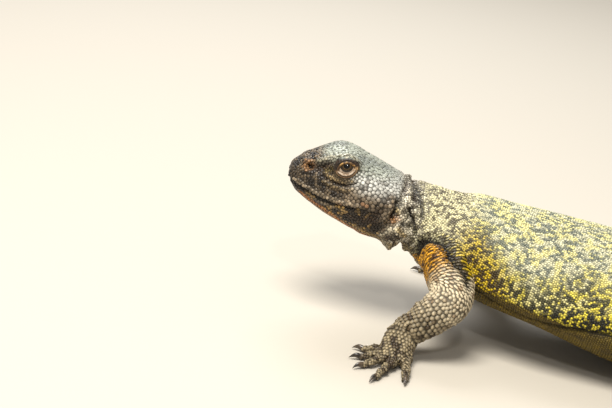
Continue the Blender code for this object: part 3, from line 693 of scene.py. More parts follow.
# Forms drawn on the head as strokes, the same on both sides: how far the skin moves out, the
# stroke's half width, its colour and how strong that is, and points u, v, w of its line.
HEAD_STROKES = (
    # The blunt tip of the snout
    (1.0, 2.6, SHADE_BLACK, 0.0, ((0.2, 0.0, 2.8), (0.6, 4.6, 2.6))),
    # The ridge over the eye, and the crease under it, painted dark brown as shade
    (0.3, 1.1, CREAM, 0.7, (
        (7.5, 8.2, 9.2), (10.6, 8.8, 11.8), (13.8, 11.2, 14.2), (16.2, 12.2, 15.1),
        (18.6, 12.4, 14.7), (22.0, 12.0, 13.6),
    )),
    (-1.0, 0.75, BROWN_DARK, 0.95, (
        (8.4, 9.6, 8.4), (10.8, 10.6, 10.5), (12.8, 12.5, 12.7), (15.0, 13.4, 13.8),
        (16.9, 13.9, 13.9), (19.2, 13.5, 13.3), (21.6, 13.2, 11.8),
    )),
    # The hollow ahead of the eye, painted dark brown as shade
    (-1.1, 1.5, BROWN_DARK, 0.85, ((5.8, 8.1, 7.0), (9.0, 10.3, 7.2), (11.0, 11.4, 8.0))),
    (0.0, 0.9, OLIVE, 0.7, ((10.0, 10.9, 7.3), (11.6, 11.3, 8.6))),
    # Folds under the eye, with the creases between them painted dark brown as shade
    (0.35, 0.55, OLIVE_PALE, 0.7, (
        (10.1, 11.0, 6.5), (12.9, 12.6, 5.8), (16.1, 13.9, 5.7), (19.5, 14.9, 7.4),
    )),
    (-0.7, 0.5, BROWN_DARK, 0.9, (
        (9.2, 10.9, 5.3), (11.7, 12.1, 4.7), (14.7, 13.4, 4.6), (17.7, 14.5, 5.2),
        (20.6, 15.2, 6.8),
    )),
    (0.3, 0.6, OLIVE_PALE, 0.4, (
        (10.4, 11.6, 3.9), (14.0, 13.0, 3.4), (18.0, 14.6, 3.8), (21.0, 15.4, 5.2),
    )),
    (-0.4, 0.5, BROWN_DARK, 0.5, ((11.0, 11.8, 2.6), (15.0, 13.4, 2.2), (19.0, 15.0, 2.8))),
    # The ridge of the snout, and the swell behind the eye
    (0.4, 1.2, CREAM, 0.0, ((6.4, 7.6, 8.8), (9.4, 9.4, 10.4))),
    (0.9, 3.6, CREAM, 0.0, ((25.0, 16.2, 4.4), (31.0, 17.0, 3.6))),
    # The pale rows along the lips
    (0.25, 0.5, LIP, 0.75, (
        (1.5, 7.0, 0.7), (5.9, 9.4, -0.1), (9.9, 11.2, -0.6), (13.0, 12.6, -0.8),
        (16.4, 14.0, -0.4), (20.4, 15.4, 0.2), (25.2, 16.3, 1.0),
    )),
    (0.2, 0.45, LIP, 0.5, (
        (5.9, 8.6, -3.0), (10.0, 10.4, -3.6), (13.0, 11.8, -3.7), (17.0, 13.4, -3.3),
        (21.0, 14.8, -2.6), (25.0, 15.6, -1.6),
    )),
    # The dark and pale patches of the jaw, and the orange line under it
    (-0.3, 2.3, BROWN_DARK, 0.85, ((22.0, 13.9, -5.2), (25.5, 15.2, -3.9), (29.0, 16.2, -3.4))),
    (0.0, 1.1, CHIN_STRIPE, 0.92, (
        (4.5, 6.3, -3.9), (8.0, 7.2, -5.4), (12.5, 8.8, -6.3), (16.2, 9.6, -7.2),
        (20.0, 9.6, -8.5), (24.0, 9.9, -9.5), (29.0, 10.4, -10.4),
    )),
    (0.1, 1.2, JAW_SPECK, 0.7, ((24.5, 12.4, -8.4), (28.5, 13.4, -8.4), (31.5, 12.6, -9.4))),
    (0.1, 1.3, CREAM, 0.7, ((34.2, 13.2, -8.0), (36.5, 11.0, -12.0), (37.4, 6.0, -14.5))),
    # The ear, its opening painted black as shade, and the rims round it
    (-2.8, 0.8, SHADE_BLACK, 0.98, EAR_LINE),
    (-0.4, 1.9, BROWN_DARK, 0.6, (
        (33.4, 16.2, 6.0), (31.6, 17.0, 2.6), (29.4, 16.8, -1.0), (27.0, 15.6, -3.6),
    )),
    (0.6, 0.9, LIP, 0.6, ((33.4, 16.0, 6.6), (33.4, 17.2, 2.6), (32.9, 17.4, -0.6))),
    (0.5, 0.9, CREAM, 0.6, ((36.2, 13.0, 7.4), (37.0, 16.0, 3.4))),
    # The ochre folds below the ear, the hollows between them painted black as shade, and the pale
    # folds of the throat
    (0.3, 1.0, OCHRE, 0.8, ((34.8, 15.8, -0.8), (35.7, 16.7, -1.2), (36.9, 16.3, -0.2))),
    (0.2, 0.6, OCHRE_PALE, 0.75, ((35.5, 15.0, 2.9), (36.6, 16.3, 1.9))),
    (-0.9, 0.7, SHADE_BLACK, 0.85, ((36.2, 16.3, 0.9), (36.5, 16.3, 0.6))),
    (-0.9, 0.9, SHADE_BLACK, 0.85, ((38.7, 16.1, -1.6), (40.0, 14.8, -1.6))),
    (0.3, 0.7, FOLD_PALE, 0.6, ((38.4, 16.0, 0.8), (39.6, 14.7, -0.2))),
    (0.6, 1.0, FOLD_PALE, 0.8, (
        (33.5, 14.4, -7.3), (35.1, 15.9, -5.2), (36.2, 16.5, -3.6), (37.1, 16.3, -4.1),
    )),
    (0.2, 0.8, OCHRE_PALE, 0.7, ((38.0, 16.5, -3.7), (39.8, 14.8, -5.1), (41.2, 14.3, -5.5))),
    (0.5, 0.9, FOLD_PALE, 0.9, ((41.2, 14.8, -3.2), (41.5, 14.8, -3.9))),
    # Painted shade under the pale fold of the throat
    (-0.4, 1.1, BROWN_DARK, 0.8, ((34.0, 14.0, -9.2), (36.9, 14.9, -7.7), (39.2, 14.6, -7.6))),
    # The folds of the neck, and the creases between them painted dark as shade
    (-0.9, 0.6, BROWN_DARK, 0.7, (
        (37.4, 2.0, 9.8), (37.1, 8.6, 9.2), (36.4, 12.3, 8.0), (36.1, 15.1, 5.9),
        (36.6, 16.1, 4.2),
    )),
    (0.0, 0.6, CHEEK_ORANGE, 0.45, ((37.9, 9.0, 8.0), (38.3, 12.5, 6.0), (38.9, 14.7, 3.7))),
    (0.9, 0.8, CREAM, 0.45, (
        (38.4, 1.4, 9.8), (38.9, 8.0, 8.4), (38.9, 12.0, 7.0), (38.5, 14.6, 4.6),
        (39.6, 15.9, 1.6), (40.8, 15.8, -1.6),
    )),
    (-1.4, 0.65, BROWN_DARK, 0.95, (
        (39.2, 1.4, 9.9), (39.8, 4.0, 9.6), (40.3, 7.7, 8.9), (40.9, 10.8, 7.6), (41.0, 12.4, 6.4),
    )),
    (-1.5, 0.7, SHADE_BLACK, 0.9, (
        (39.9, 15.2, 3.7), (41.2, 15.4, 1.0), (42.5, 16.0, -0.7), (43.6, 16.4, -3.4),
        (45.1, 17.3, -5.6),
    )),
    (0.8, 0.7, CREAM, 0.4, (
        (41.8, 12.4, 5.6), (42.2, 14.6, 3.2), (43.2, 15.6, 0.6), (44.6, 15.6, -2.4),
    )),
    (-1.6, 0.75, SHADE_BLACK, 0.9, (
        (40.9, 4.2, 9.5), (41.5, 7.5, 8.8), (42.3, 9.4, 8.1), (43.0, 11.6, 6.9), (43.6, 13.3, 5.6),
        (44.0, 14.8, 4.2), (44.0, 15.8, 2.8),
    )),
    (0.6, 0.9, CREAM, 0.3, ((44.6, 8.2, 7.6), (45.6, 11.2, 5.0), (45.8, 13.6, 3.0))),
)
# Lines on the trunk, as x, distance from its middle plane, and z: the fold between flank and
# belly, the arch over the root of the arm and the fold of skin above it
BELLY_FOLD = np.array((
    (14.0, 25.6, 23.6), (17.6, 25.4, 22.6), (23.7, 25.1, 19.6), (29.6, 25.0, 17.4), (37.5, 26.8, 16.4),
    (45.8, 30.2, 17.4), (55.1, 32.8, 19.0), (62.5, 33.8, 19.6), (80.0, 33.4, 18.0), (96.0, 30.0, 14.8),
))
ARM_ARCH = np.array((
    (-3.5, 15.4, 26.0), (-2.8, 18.3, 29.6), (-2.4, 19.0, 31.6), (-1.6, 19.3, 32.8), (0.4, 20.7, 34.3),
    (2.3, 21.7, 35.2), (4.1, 22.7, 35.6), (6.0, 23.8, 35.4), (7.5, 25.3, 34.9), (9.3, 28.4, 33.2),
    (11.9, 30.2, 31.8), (14.1, 30.6, 30.6), (16.3, 31.5, 28.8), (17.6, 33.3, 26.6),
))
ARM_HOOD = (
    (-3.4, 18.2, 33.8), (-0.3, 18.6, 36.3), (3.9, 18.9, 37.1), (6.4, 19.7, 36.8), (9.1, 21.0, 35.9),
    (11.1, 23.5, 34.3), (13.0, 25.6, 32.7),
)
# The same kind of strokes for the trunk
TRUNK_STROKES = (
    # The hollow under the arch, painted black as the shadow of the fold above it, and that fold
    (-1.4, 1.8, SHADE_BLACK, 1.0, ARM_ARCH),
    (0.9, 1.5, CREAM, 0.0, ARM_HOOD),
    # The crease between flank and belly, painted black as shade, and the swell over it
    (-1.2, 0.9, SHADE_BLACK, 0.85, BELLY_FOLD),
    (1.0, 2.4, CREAM, 0.0, (
        (20.0, 26.0, 24.6), (29.6, 27.4, 22.6), (37.5, 29.4, 21.4), (45.8, 31.6, 22.0),
        (62.5, 33.6, 23.6), (80.0, 33.4, 21.6), (96.0, 30.6, 18.6),
    )),
)


def eye_centre(side):
    """The centre of one eye at u, v, w. The right eye lies a little deeper."""
    u, v, w = np.array(EYE_CENTRE) + (FAR_EYE_SHIFT if side > 0 else 0)
    return Vector((u, side * v, w))


def eye_frame(side):
    """The frame of one eye: z looks out, x runs back along the slit of the lids."""
    centre = eye_centre(side)
    out = Vector((-sin(EYE_TURN) * 0.5, side * cos(EYE_TURN), sin(EYE_TURN))).normalized()
    slit = Vector((cos(LID_TILT), 0, sin(LID_TILT)))
    slit = (slit - out * slit.dot(out)).normalized()
    turn = Matrix((slit, out.cross(slit), out)).transposed().to_4x4()
    return HEAD @ Matrix.Translation(centre) @ turn


def mirrored(p, middle=0.0):
    q = p.copy()
    q[:, 1] = np.abs(q[:, 1] - middle)
    return q


def stroke_shares(points):
    """Each stroke's outward move, colour and strength, with its share at every point."""
    head = mirrored(to_head(points))
    trunk = mirrored(points, TRUNK_MIDDLE_Y)
    on_head = head[:, 0] < HEAD_LENGTH + 8
    on_trunk = points[:, 0] < TRUNK_END_X
    for strokes, p, use in ((HEAD_STROKES, head, on_head), (TRUNK_STROKES, trunk, on_trunk)):
        for out, width, tone, strength, line in strokes:
            share = np.zeros(len(points))
            share[use] = bell(line_distance(p[use], line) / width)
            yield out, tone, strength, share


def mouth_level(u):
    """How high the line of the mouth is at each u."""
    line = MOUTH_LINE
    return through(line[:, 0], line[:, 1], np.clip(u, line[0, 0], line[-1, 0]))


def mouth_field(points):
    """The groove of the mouth between the ridges of the lips: how far out, and how dark its painted
    shade is.
    """
    p = to_head(points)
    off = p[:, 2] - mouth_level(p[:, 0])
    share = ramp(MOUTH_END + 1.0, MOUTH_END - 1.5, p[:, 0]) * (p[:, 0] < HEAD_LENGTH)
    lump = noise(p / 1.7, 51)
    groove = bell(off / 0.42) * share * (0.5 + 0.5 * ramp(0.2, 0.6, lump))
    lips = 0.5 * bell((off - 1.1) / 0.7) + 0.3 * bell((off + 1.3) / 0.8)
    lips = lips * (0.4 + 0.9 * lump)
    tuck = -0.35 * ramp(-0.2, -0.8, off) * (p[:, 0] < 30) * share
    return -0.8 * groove + lips * share + tuck, 0.85 * groove


def nostril_field(points):
    """The nostrils with their rims: how far out, and how dark the painted shade in them is."""
    p = mirrored(to_head(points)) - np.array(NOSTRIL_CENTRE)
    around = np.hypot(p[:, 0], p[:, 2])
    near = np.abs(p[:, 1]) < 3
    hole = bell(around / 0.85) * near
    rim = bell((around - 1.7) / 0.7) * near
    return -1.7 * hole + 0.3 * rim, 0.95 * hole


def sculpt(points, quads):
    """The skin with its folds, mouth and nostrils, sunk by the coat's depth."""
    normals = point_normals(points, quads)
    out = sum(out * share for out, _, _, share in stroke_shares(points))
    out = out + mouth_field(points)[0] + nostril_field(points)[0]
    head = to_head(points)
    neck = ramp(33, 40, head[:, 0]) * ramp(64, 50, head[:, 0])
    wrinkle = np.sin(tau * (head[:, 0] / 2.6 + 1.4 * noise(points / 6, 3)))
    out += 0.22 * neck * wrinkle * ramp(12, 4, head[:, 2])
    out -= FAR_BROW_DROP * far_brow(head)
    points = points + normals * (out - COAT_DEPTH)[:, None]
    for side in (1, -1):
        points = crater(points, side)
    points[:, 2] = np.maximum(points[:, 2], SKIN_CLEARANCE)
    return points


def far_brow(head):
    """The share of the right brow at points u, v, w of the head."""
    along = bell((head[:, 0] - 18.0) / 4.5)
    return along * ramp(5, 8.5, head[:, 1]) * ramp(11.5, 13.5, head[:, 2])


def eye_opening(points, side, size):
    """Points in the frame of an eye, their distance from its middle, their share of the way to the
    edge of an opening of this half size, and whether they lie in it."""
    p = moved(eye_frame(side).inverted(), points)
    reach = np.linalg.norm(p, axis=1)
    share = np.hypot(p[:, 0] / size[0], p[:, 1] / size[1])
    return p, reach, share, (reach < LID_RADIUS + LID_MARGIN) & (p[:, 2] > 0) & (share < 1)


def crater(points, side):
    """Draws the skin in under the lids, so that it isn't seen between them."""
    p, reach, share, inside = eye_opening(points, side, HOLLOW_SIZE)
    drawn = HOLLOW_REACH + (reach - HOLLOW_REACH) * ramp(0.75, 1.0, share)
    scale = np.where(inside, np.minimum(reach, drawn) / np.maximum(reach, 1e-6), 1)
    return np.where(inside[:, None], moved(eye_frame(side), p * scale[:, None]), points)


def head_paint(p):
    """Colour on the head at points u, v, w of its frame."""
    u, v, w = p[:, 0], np.abs(p[:, 1]), p[:, 2]
    speck = rough(p / 1.2, 11)
    patch = rough(p / 4.5, 12)
    dapple = rough(p / 2.6, 16)
    crown = mix(CROWN, CROWN_SHADE, ramp(0.42, 0.72, patch))
    crown = mix(crown, CHEEK_SHADE, 0.45 * ramp(0.62, 0.74, speck))
    shade = ramp(0.5, 0.68, 0.6 * speck + 0.4 * dapple)
    cheek = mix(CHEEK, CHEEK_SHADE, 0.85 * shade)
    # The lower cheek is browner, and darker towards the mouth as painted shade
    low = mix(CHEEK_LOW_BROWN_SHADED, CHEEK_LOW_BROWN_SHADED_DARK, shade)
    cheek = mix(cheek, low, ramp(7.5, 2.5, w + 2.4 * (dapple - 0.5)))
    cheek = mix(cheek, CHEEK_ORANGE, 0.6 * ramp(0.76, 0.82, noise(p / 1.3, 15)) * ramp(8, 5, w))
    # Dark speckles, and painted shade darkening the front of the snout
    dark = np.maximum(ramp(0.36, 0.6, speck), 0.7 * ramp(5, 1.5, u) * ramp(6, 3, w))
    snout = mix(SNOUT, SNOUT_SHADE, dark)
    specks = ramp(0.52, 0.64, 0.5 * speck + 0.5 * dapple - 0.06 * ramp(18, 25, u)) * ramp(2, 14, u)
    jaw = mix(JAW, JAW_SPECK, specks)
    neck = mix(NECK, NECK_SHADE, np.maximum(ramp(0.44, 0.62, speck), 0.7 * ramp(7.0, 9.0, w)))
    colour = mix(snout, cheek, ramp(14, 20, u - 0.25 * w))
    high = ramp(8.6, 12.0, w - 0.14 * np.maximum(14 - u, 0)) * ramp(5.0, 11, u)
    colour = mix(colour, crown, high)
    colour = mix(colour, neck, ramp(34, 38, u))
    below = ramp(0.3, -0.6, w - mouth_level(u)) * ramp(33, 29, u)
    colour = mix(colour, jaw, np.maximum(below, ramp(-1.0, -4.0, w) * ramp(37, 31, u)))
    underside = through(HEAD_STATIONS[:, 0], HEAD_STATIONS[:, 3], np.clip(u, 0, 50))
    throat = mix(THROAT, JAW, ramp(0.4, 0.7, speck))
    colour = mix(colour, throat, ramp(2.0, 0.6, w - underside) * ramp(6, 14, u))
    away = np.linalg.norm(np.column_stack((u, v, w)) - NOSTRIL_CENTRE - (0, 0.9, 0), axis=1)
    near = ramp(2.5, 1.7, away + 0.8 * (noise(p / 0.9, 17) - 0.5))
    return mix(colour, NOSTRIL_TAN, near * (1 - 0.6 * ramp(0.5, 0.7, speck)))


def body_paint(at, along, turn, p):
    """Colour on the neck, trunk and tail."""
    up = np.sin(turn)
    large = noise(p / 13, 23)
    cell = rough(p / (0.95, 0.68, 0.68), 21) + 0.3 * (noise(p * 1.7, 27) - 0.5)
    cell = cell + 0.16 * (noise(p / 4.0, 22) - 0.5)
    pale = ramp(0.42, 0.6, noise(p / 2.4, 28))
    spot = rough(p / (1.5, 1.05, 1.05), 24) + 0.12 * (noise(p * 1.7, 27) - 0.5)
    spot = 0.65 * spot + 0.35 * cell
    back = mix(mix(BACK, BACK_PALE, pale), BACK_BLOTCH, 0.95 * ramp(0.5, 0.58, spot))
    flank = mix(mix(FLANK, BACK_PALE, 0.7 * pale), FLANK_BLOTCH, ramp(0.42, 0.54, cell))
    near_arm = ramp(38, 22, p[:, 0])
    blotch = mix(SIDE_BLOTCH, SIDE_FRONT_BLOTCH, near_arm)
    side = mix(mix(SIDE, SIDE_FRONT, near_arm), blotch, ramp(0.41, 0.51, cell))
    flank = mix(flank, side, 0.75 * near_arm)
    above = p[:, 2] - np.interp(p[:, 0], BELLY_FOLD[:, 0], BELLY_FOLD[:, 2])
    front = 3.5 * near_arm
    colour = mix(flank, back, ramp(9 + front, 19 + front, above + 6 * (large - 0.5)))
    colour = mix(side, colour, ramp(3 + front, 10 + front, above + 5 * (large - 0.5)))
    belly = mix(BELLY, BELLY_SHADE, rough(p / 2.0, 25))
    under = np.maximum(ramp(0.3, -0.4, above) * ramp(0.5, 0.3, up), ramp(-0.1, -0.2, up))
    colour = mix(colour, belly, under)
    neck = mix(mix(NECK, BACK, 0.5), NECK_SHADE, 0.9 * ramp(0.48, 0.6, cell))
    # Painted shade darkens the underside of the neck
    neck = mix(neck, BELLY_SHADE, 0.7 * ramp(-0.2, -0.7, up))
    colour = mix(neck, colour, ramp(0.6, 1.7, at))
    tail = mix(TAIL, TAIL_SHADE, ramp(0.42, 0.62, rough(p / 3.5, 26)))
    tail = mix(tail, TAIL_SHADE, 0.5 * (0.5 + 0.5 * np.sin(along / 9.0)))
    return mix(colour, tail, ramp(7.4, 9.0, at))


def under_arch(p):
    """Which share of each point of an arm lies under the arch of skin over its root."""
    top = np.interp(p[:, 0], ARM_ARCH[:, 0], ARM_ARCH[:, 2], right=100)
    return np.maximum(ramp(0.4, -0.4, p[:, 2] - top), ramp(32, 34, np.abs(p[:, 1])))


def limb_paint(leg, share, p):
    """Colour on a limb, where share runs from 0 at its root to 1 at the wrist or ankle."""
    speck = rough(p / 1.9, 31)
    if leg:
        colour = mix(THIGH, THIGH_SHADE, ramp(0.42, 0.6, rough(p / 1.4, 32)))
        lower = mix(HAND, HAND_SHADE, ramp(0.4, 0.65, speck))
        return mix(colour, lower, ramp(0.4, 0.75, share))
    upper = mix(ARM, ARM_SHADE, 0.8 * ramp(0.55, 0.75, speck))
    root = mix(SHOULDER, SHOULDER_SHADE, ramp(0.5, 0.66, rough(p / 0.9, 33)))
    colour = mix(root, upper, ramp(0.27, 0.4, share + 0.1 * (speck - 0.5)))
    lower = mix(FOREARM, FOREARM_SHADE, ramp(0.48, 0.68, speck))
    colour = mix(colour, lower, ramp(0.5, 0.66, share))
    return mix(colour, mix(HAND, HAND_SHADE, ramp(0.46, 0.66, speck)), ramp(0.72, 0.88, share))


class Map:
    """Tells which tube a point of the skin belongs to, and where on it."""

    def __init__(self, tubes):
        points, at, turn = zip(*(tube.grid() for tube in tubes))
        self.which = np.repeat(np.arange(len(tubes)), [places.size for places in at])
        self.at = np.concatenate([places.ravel() for places in at])
        self.turn = np.concatenate([turns.ravel() for turns in turn])
        self.tree = tree_of(np.concatenate([grid.reshape(-1, 3) for grid in points]))

    def find(self, points):
        nearest = np.array([self.tree.find(p)[1] for p in points])
        return self.which[nearest], self.at[nearest], self.turn[nearest]


def paint(tubes, points, which, at, turn):
    """Colour of the animal at points whose place on the tubes is known."""
    along = np.zeros(len(points))
    for n, tube in enumerate(tubes):
        along[which == n] = tube.distance(at[which == n])
    # Limbs take the colour of the body beside them at their roots
    body_at, body_turn, body_along = at.copy(), turn.copy(), along.copy()
    body_at[which == 0] = 0
    others = which > 1
    body_at[others] = np.interp(points[others, 0], BODY_LINE[:, 0], BODY_KNOTS)
    body_turn[others] = np.where(points[others, 1] < 0, pi - 0.2, 0.2)
    body_along[others] = points[others, 0]
    colour = body_paint(body_at, body_along, body_turn, points)
    head = to_head(points)
    near = (head[:, 0] < 52) & (which < 2)
    colour[near] = mix(head_paint(head[near]), colour[near], ramp(40, 48, head[near, 0]))
    for n, tube in enumerate(tubes):
        use = which == n
        if n < 2 or not use.any():
            continue
        leg = tube.name.startswith("leg")
        share = np.ones(use.sum()) if tube.digit else along[use] / tube.along[-1]
        root = ramp(0.1, 0.3, share) if leg else under_arch(points[use])
        colour[use] = mix(colour[use], limb_paint(leg, share, points[use]), root)
    for _, tone, strength, share in stroke_shares(points):
        if strength:
            colour = mix(colour, tone, strength * share)
    # Painted shade: black in the groove of the mouth and in the nostrils
    return mix(colour, SHADE_BLACK, np.maximum(mouth_field(points)[1], nostril_field(points)[1]))


def new_mesh(name, points, loops, starts, material):
    """An object from points in millimetres, the corners of its faces and where each begins."""
    mesh = bpy.data.meshes.new(name)
    mesh.vertices.add(len(points))
    mesh.vertices.foreach_set("co", ((points + SHIFT) * MM).astype(np.float32).ravel())
    mesh.loops.add(len(loops))
    mesh.loops.foreach_set("vertex_index", loops.astype(np.int32))
    mesh.polygons.add(len(starts))
    mesh.polygons.foreach_set("loop_start", starts.astype(np.int32))
    mesh.update(calc_edges=True)
    mesh.shade_smooth()
    mesh.materials.append(material)
    obj = placed(name, mesh)
    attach(obj, "root")
    return obj


def corners(faces):
    """The corners of all the faces in one row, and where each face begins in it."""
    loops = np.concatenate([np.array(face) for face in faces])
    starts = np.concatenate(([0], np.cumsum([len(face) for face in faces])[:-1]))
    return loops, starts


def quad_corners(quads):
    return quads.ravel(), np.arange(len(quads)) * 4


def give_colour(obj, colour):
    layer = obj.data.color_attributes.new("Paint", "FLOAT_COLOR", "POINT")
    rgba = np.column_stack((colour, np.ones(len(colour))))
    layer.data.foreach_set("color", rgba.astype(np.float32).ravel())


def give_height(obj, height):
    layer = obj.data.attributes.new("Height", "FLOAT", "POINT")
    layer.data.foreach_set("value", height.astype(np.float32))


def cone_faces(count, sides):
    """Faces of a closed form of count rings of points and a tip after them."""
    index = np.arange(count * sides).reshape(count, sides)
    last = index[-1].tolist()
    fan = [[a, b, count * sides] for a, b in zip(last, last[1:] + last[:1])]
    return [index[0][::-1].tolist(), *quads_between(index).tolist(), *fan]


def ring_template(sides, rings, top):
    """A closed scale: points (back, across, up) in shares of its size, and faces.

    Each ring is (size, up); top is the highest point, as (back, up).
    """
    a = np.arange(sides) / sides * tau
    points = [(cos(x) * size, sin(x) * size, up) for size, up in rings for x in a]
    points.append((top[0], 0, top[1]))
    return np.array(points), cone_faces(len(rings), sides)


def shingle_template():
    """A scale that rises towards its rear edge, which overlaps the scale behind."""
    points, faces = ring_template(6, ((1.0, -0.6), (0.9, 0.5)), (0.45, 1.05))
    upper = points[:, 2] > 0
    points[upper, 2] *= 0.35 + 0.65 * (points[upper, 0] + 1) / 2
    rear = points[:, 0] > 0.1
    points[rear & upper, 0] *= 1.25
    return points, faces


def band_template():
    """A broad scale with straight front and rear edges, so that a row of them reads as a band."""
    points, faces = ring_template(8, ((1.0, -0.6), (0.9, 0.45), (0.5, 0.9)), (0.25, 1.0))
    points[:, :2] = np.sign(points[:, :2]) * np.abs(points[:, :2]) ** 0.7
    upper = points[:, 2] > 0
    points[upper, 2] *= 0.55 + 0.45 * (points[upper, 0] + 1) / 2
    return points, faces


def spine_template():
    """A keeled spine: back along its length, across its width and up. Its root is sunk."""
    sides = 8
    rise = np.tan(SPINE_RISE)
    # Middle, reach to the rear, half width, height and keel of each ring
    rings = (
        (-0.42, 0.34, 1.0, -0.22, 0.0),
        (-0.3, 0.36, 0.94, 0.06, 0.06),
        (0.06, 0.4, 0.72, 0.12, 0.16),
        (0.4, 0.3, 0.42, 0.16, 0.16),
    )
    points = []
    for middle, reach, wide, up, keel in rings:
        for x in np.arange(sides) / sides * tau:
            ridge = keel * max(0, 1 - abs(sin(x)) * 2.2) * (0.5 + 0.5 * cos(x))
            back = middle + reach * cos(x) + 0.1
            points.append((back, wide * sin(x), up + ridge + max(back, 0) * rise * 0.8))
    points.append((1.0, 0, rise))
    return np.array(points), cone_faces(len(rings), sides)


GRANULE = ring_template(6, ((1.0, -0.5), (0.84, 0.55)), (0.1, 1.0))
PLATE = ring_template(6, ((1.0, -0.5), (0.93, 0.5), (0.74, 0.95)), (0.1, 1.0))
SHINGLE = shingle_template()
BAND = band_template()
SPINE = spine_template()


def build_scales(name, template, roots, material, slot, root_shade_by_height=(1, 0), tip=0.0, lowest=0.0):
    """One mesh of many closed scales, each a small patch of the map at its root's place.

    The shade factor and offset turn a point's height into its brightness: painted shade at the roots
    of the scales. Tip is how strong the pale colour of the tips is.
    """
    shape, faces = template
    size = roots["length"][:, None], roots["width"][:, None], roots["height"][:, None]
    points = (
        roots["point"][:, None]
        + roots["back"][:, None] * (shape[:, 0] * size[0] / 2)[..., None]
        + roots["across"][:, None] * (shape[:, 1] * size[1] / 2)[..., None]
        + roots["normal"][:, None] * (shape[:, 2] * size[2])[..., None]
    )
    count, each = len(points), len(shape)
    flat, first = corners(faces)
    loops = (flat[None] + np.arange(count)[:, None] * each).ravel()
    starts = (first[None] + np.arange(count)[:, None] * len(flat)).ravel()
    points = points.reshape(-1, 3)
    points[:, 2] = np.maximum(points[:, 2], lowest)
    obj = new_mesh(name, points, loops, starts, material)
    pale = tip * np.clip((shape[:, 0] - 0.1) / 0.9, 0, 1)
    give_colour(obj, mix(np.repeat(roots["colour"], each, axis=0), SPINE_TIP, np.tile(pale, count)))
    # A point's height sets the painted shade at the roots of the scales
    give_height(obj, np.tile(np.clip(shape[:, 2] * root_shade_by_height[0] + root_shade_by_height[1], 0, 1), count))
    uv = roots["uv"][:, None] + shape[None, :, :2] * PATCH
    layer = obj.data.uv_layers.new(name="OFBake")
    layer.data.foreach_set("uv", uv.reshape(-1, 2)[loops].astype(np.float32).ravel())


def trunk_pitch(at):
    """How far apart the rows of scales are along the neck, trunk and tail."""
    return 0.8 + 0.75 * ramp(8.0, 9.0, at)


def row_pitches(tube):
    """Functions for how far apart the scales of a tube are: lengthwise(at), crosswise(at, turn)."""
    arm = float(tube.name.startswith("arm"))

    def body_crosswise(at, turn):
        return trunk_pitch(at) + 0.5 * ramp(-0.05, -0.5, np.sin(turn)) * ramp(0.9, 2.0, at)

    def shoulder(at):
        return arm * ramp(0.45, 0.15, at / tube.end)

    def limb_lengthwise(at):
        share = at / tube.end
        pitch = 1.15 - 0.25 * shoulder(at) + 0.3 * ramp(0.46, 0.58, share)
        return pitch - 0.3 * ramp(0.78, 0.92, share)

    def limb_crosswise(at, turn):
        return 1.6 - 0.5 * shoulder(at) - 0.3 * ramp(0.76, 0.9, at / tube.end) + 0 * turn

    if tube.name == "body":
        return trunk_pitch, body_crosswise
    if tube.digit:
        return lambda at: 0.95 + 0 * at, lambda at, turn: 1.2 + 0 * turn
    return limb_lengthwise, limb_crosswise


def scale_rows(tube):
    """Places of scales in rows round a tube: at, turn, length and width of each."""
    lengthwise, crosswise = row_pitches(tube)
    steps = np.diff(tube.along) / lengthwise(tube.at[1:])
    count = np.concatenate(([0], np.cumsum(steps)))
    found = []
    for row in range(int(count[-1])):
        here = float(np.interp(row + 0.5, count, tube.at))
        turn = pi / 2 + np.linspace(0, tau, 241)
        pitch = crosswise(here, turn[1:])
        steps = np.linalg.norm(np.diff(tube.outline(here, turn), axis=0), axis=1)
        total = np.concatenate(([0], np.cumsum(steps / pitch)))
        number = max(4, round(total[-1]))
        places = (np.arange(number) + 0.5 * (row % 2)) / number * total[-1]
        turns = np.interp(places, total, turn)
        widths = np.interp(turns, turn[1:], pitch) * total[-1] / number
        longs = np.full(number, lengthwise(here))
        found.append(np.stack((np.full(number, here), turns % tau, longs, widths)))
    return np.concatenate(found, axis=1)


class Skin:
    """The finished skin, for scales to be set on."""

    def __init__(self, points, quads, places):
        self.points, self.quads, self.places = points, quads, places
        self.tree = BVHTree.FromPolygons(points.tolist(), quads.tolist())
        self.normals = point_normals(points, quads)

    def nearest(self, points, limit):
        """Nearest places on the skin, the normals there, and the corner of the skin at each, or
        -1 where none is near enough."""
        spots = np.zeros_like(points)
        normals = np.tile((0.0, 0.0, 1.0), (len(points), 1))
        corner = np.full(len(points), -1)
        for i, p in enumerate(points):
            spot, _, index, _ = self.tree.find_nearest(p, limit)
            if spot is not None:
                spots[i] = spot
                corner[i] = self.quads[index][0]
        good = corner >= 0
        normals[good] = self.normals[corner[good]]
        return spots, normals, corner


def thin_out(points, radius):
    """Which points stay when each drops the later ones that are too near it."""
    tree = tree_of(points)
    keep = np.ones(len(points), bool)
    for i in range(len(points)):
        if keep[i]:
            for _, j, _ in tree.find_range(points[i], radius[i]):
                if j > i:
                    keep[j] = False
    return keep


def head_pitch(points):
    """How far apart the scales of the head are."""
    p = to_head(points)
    u, v, w = p[:, 0], np.abs(p[:, 1]), p[:, 2]
    pitch = 1.0 + 0.42 * ramp(18, 24, u) * ramp(-2, 1, w) * ramp(36, 32, u)
    pitch = pitch + 0.4 * ramp(10.5, 13.0, w) * ramp(5, 10, u) * ramp(34, 24, u)
    eye = np.linalg.norm(np.column_stack((u, v, w)) - EYE_CENTRE, axis=1)
    return pitch - 0.2 * ramp(7.4, 5.8, eye) - 0.15 * ramp(34, 37, u)


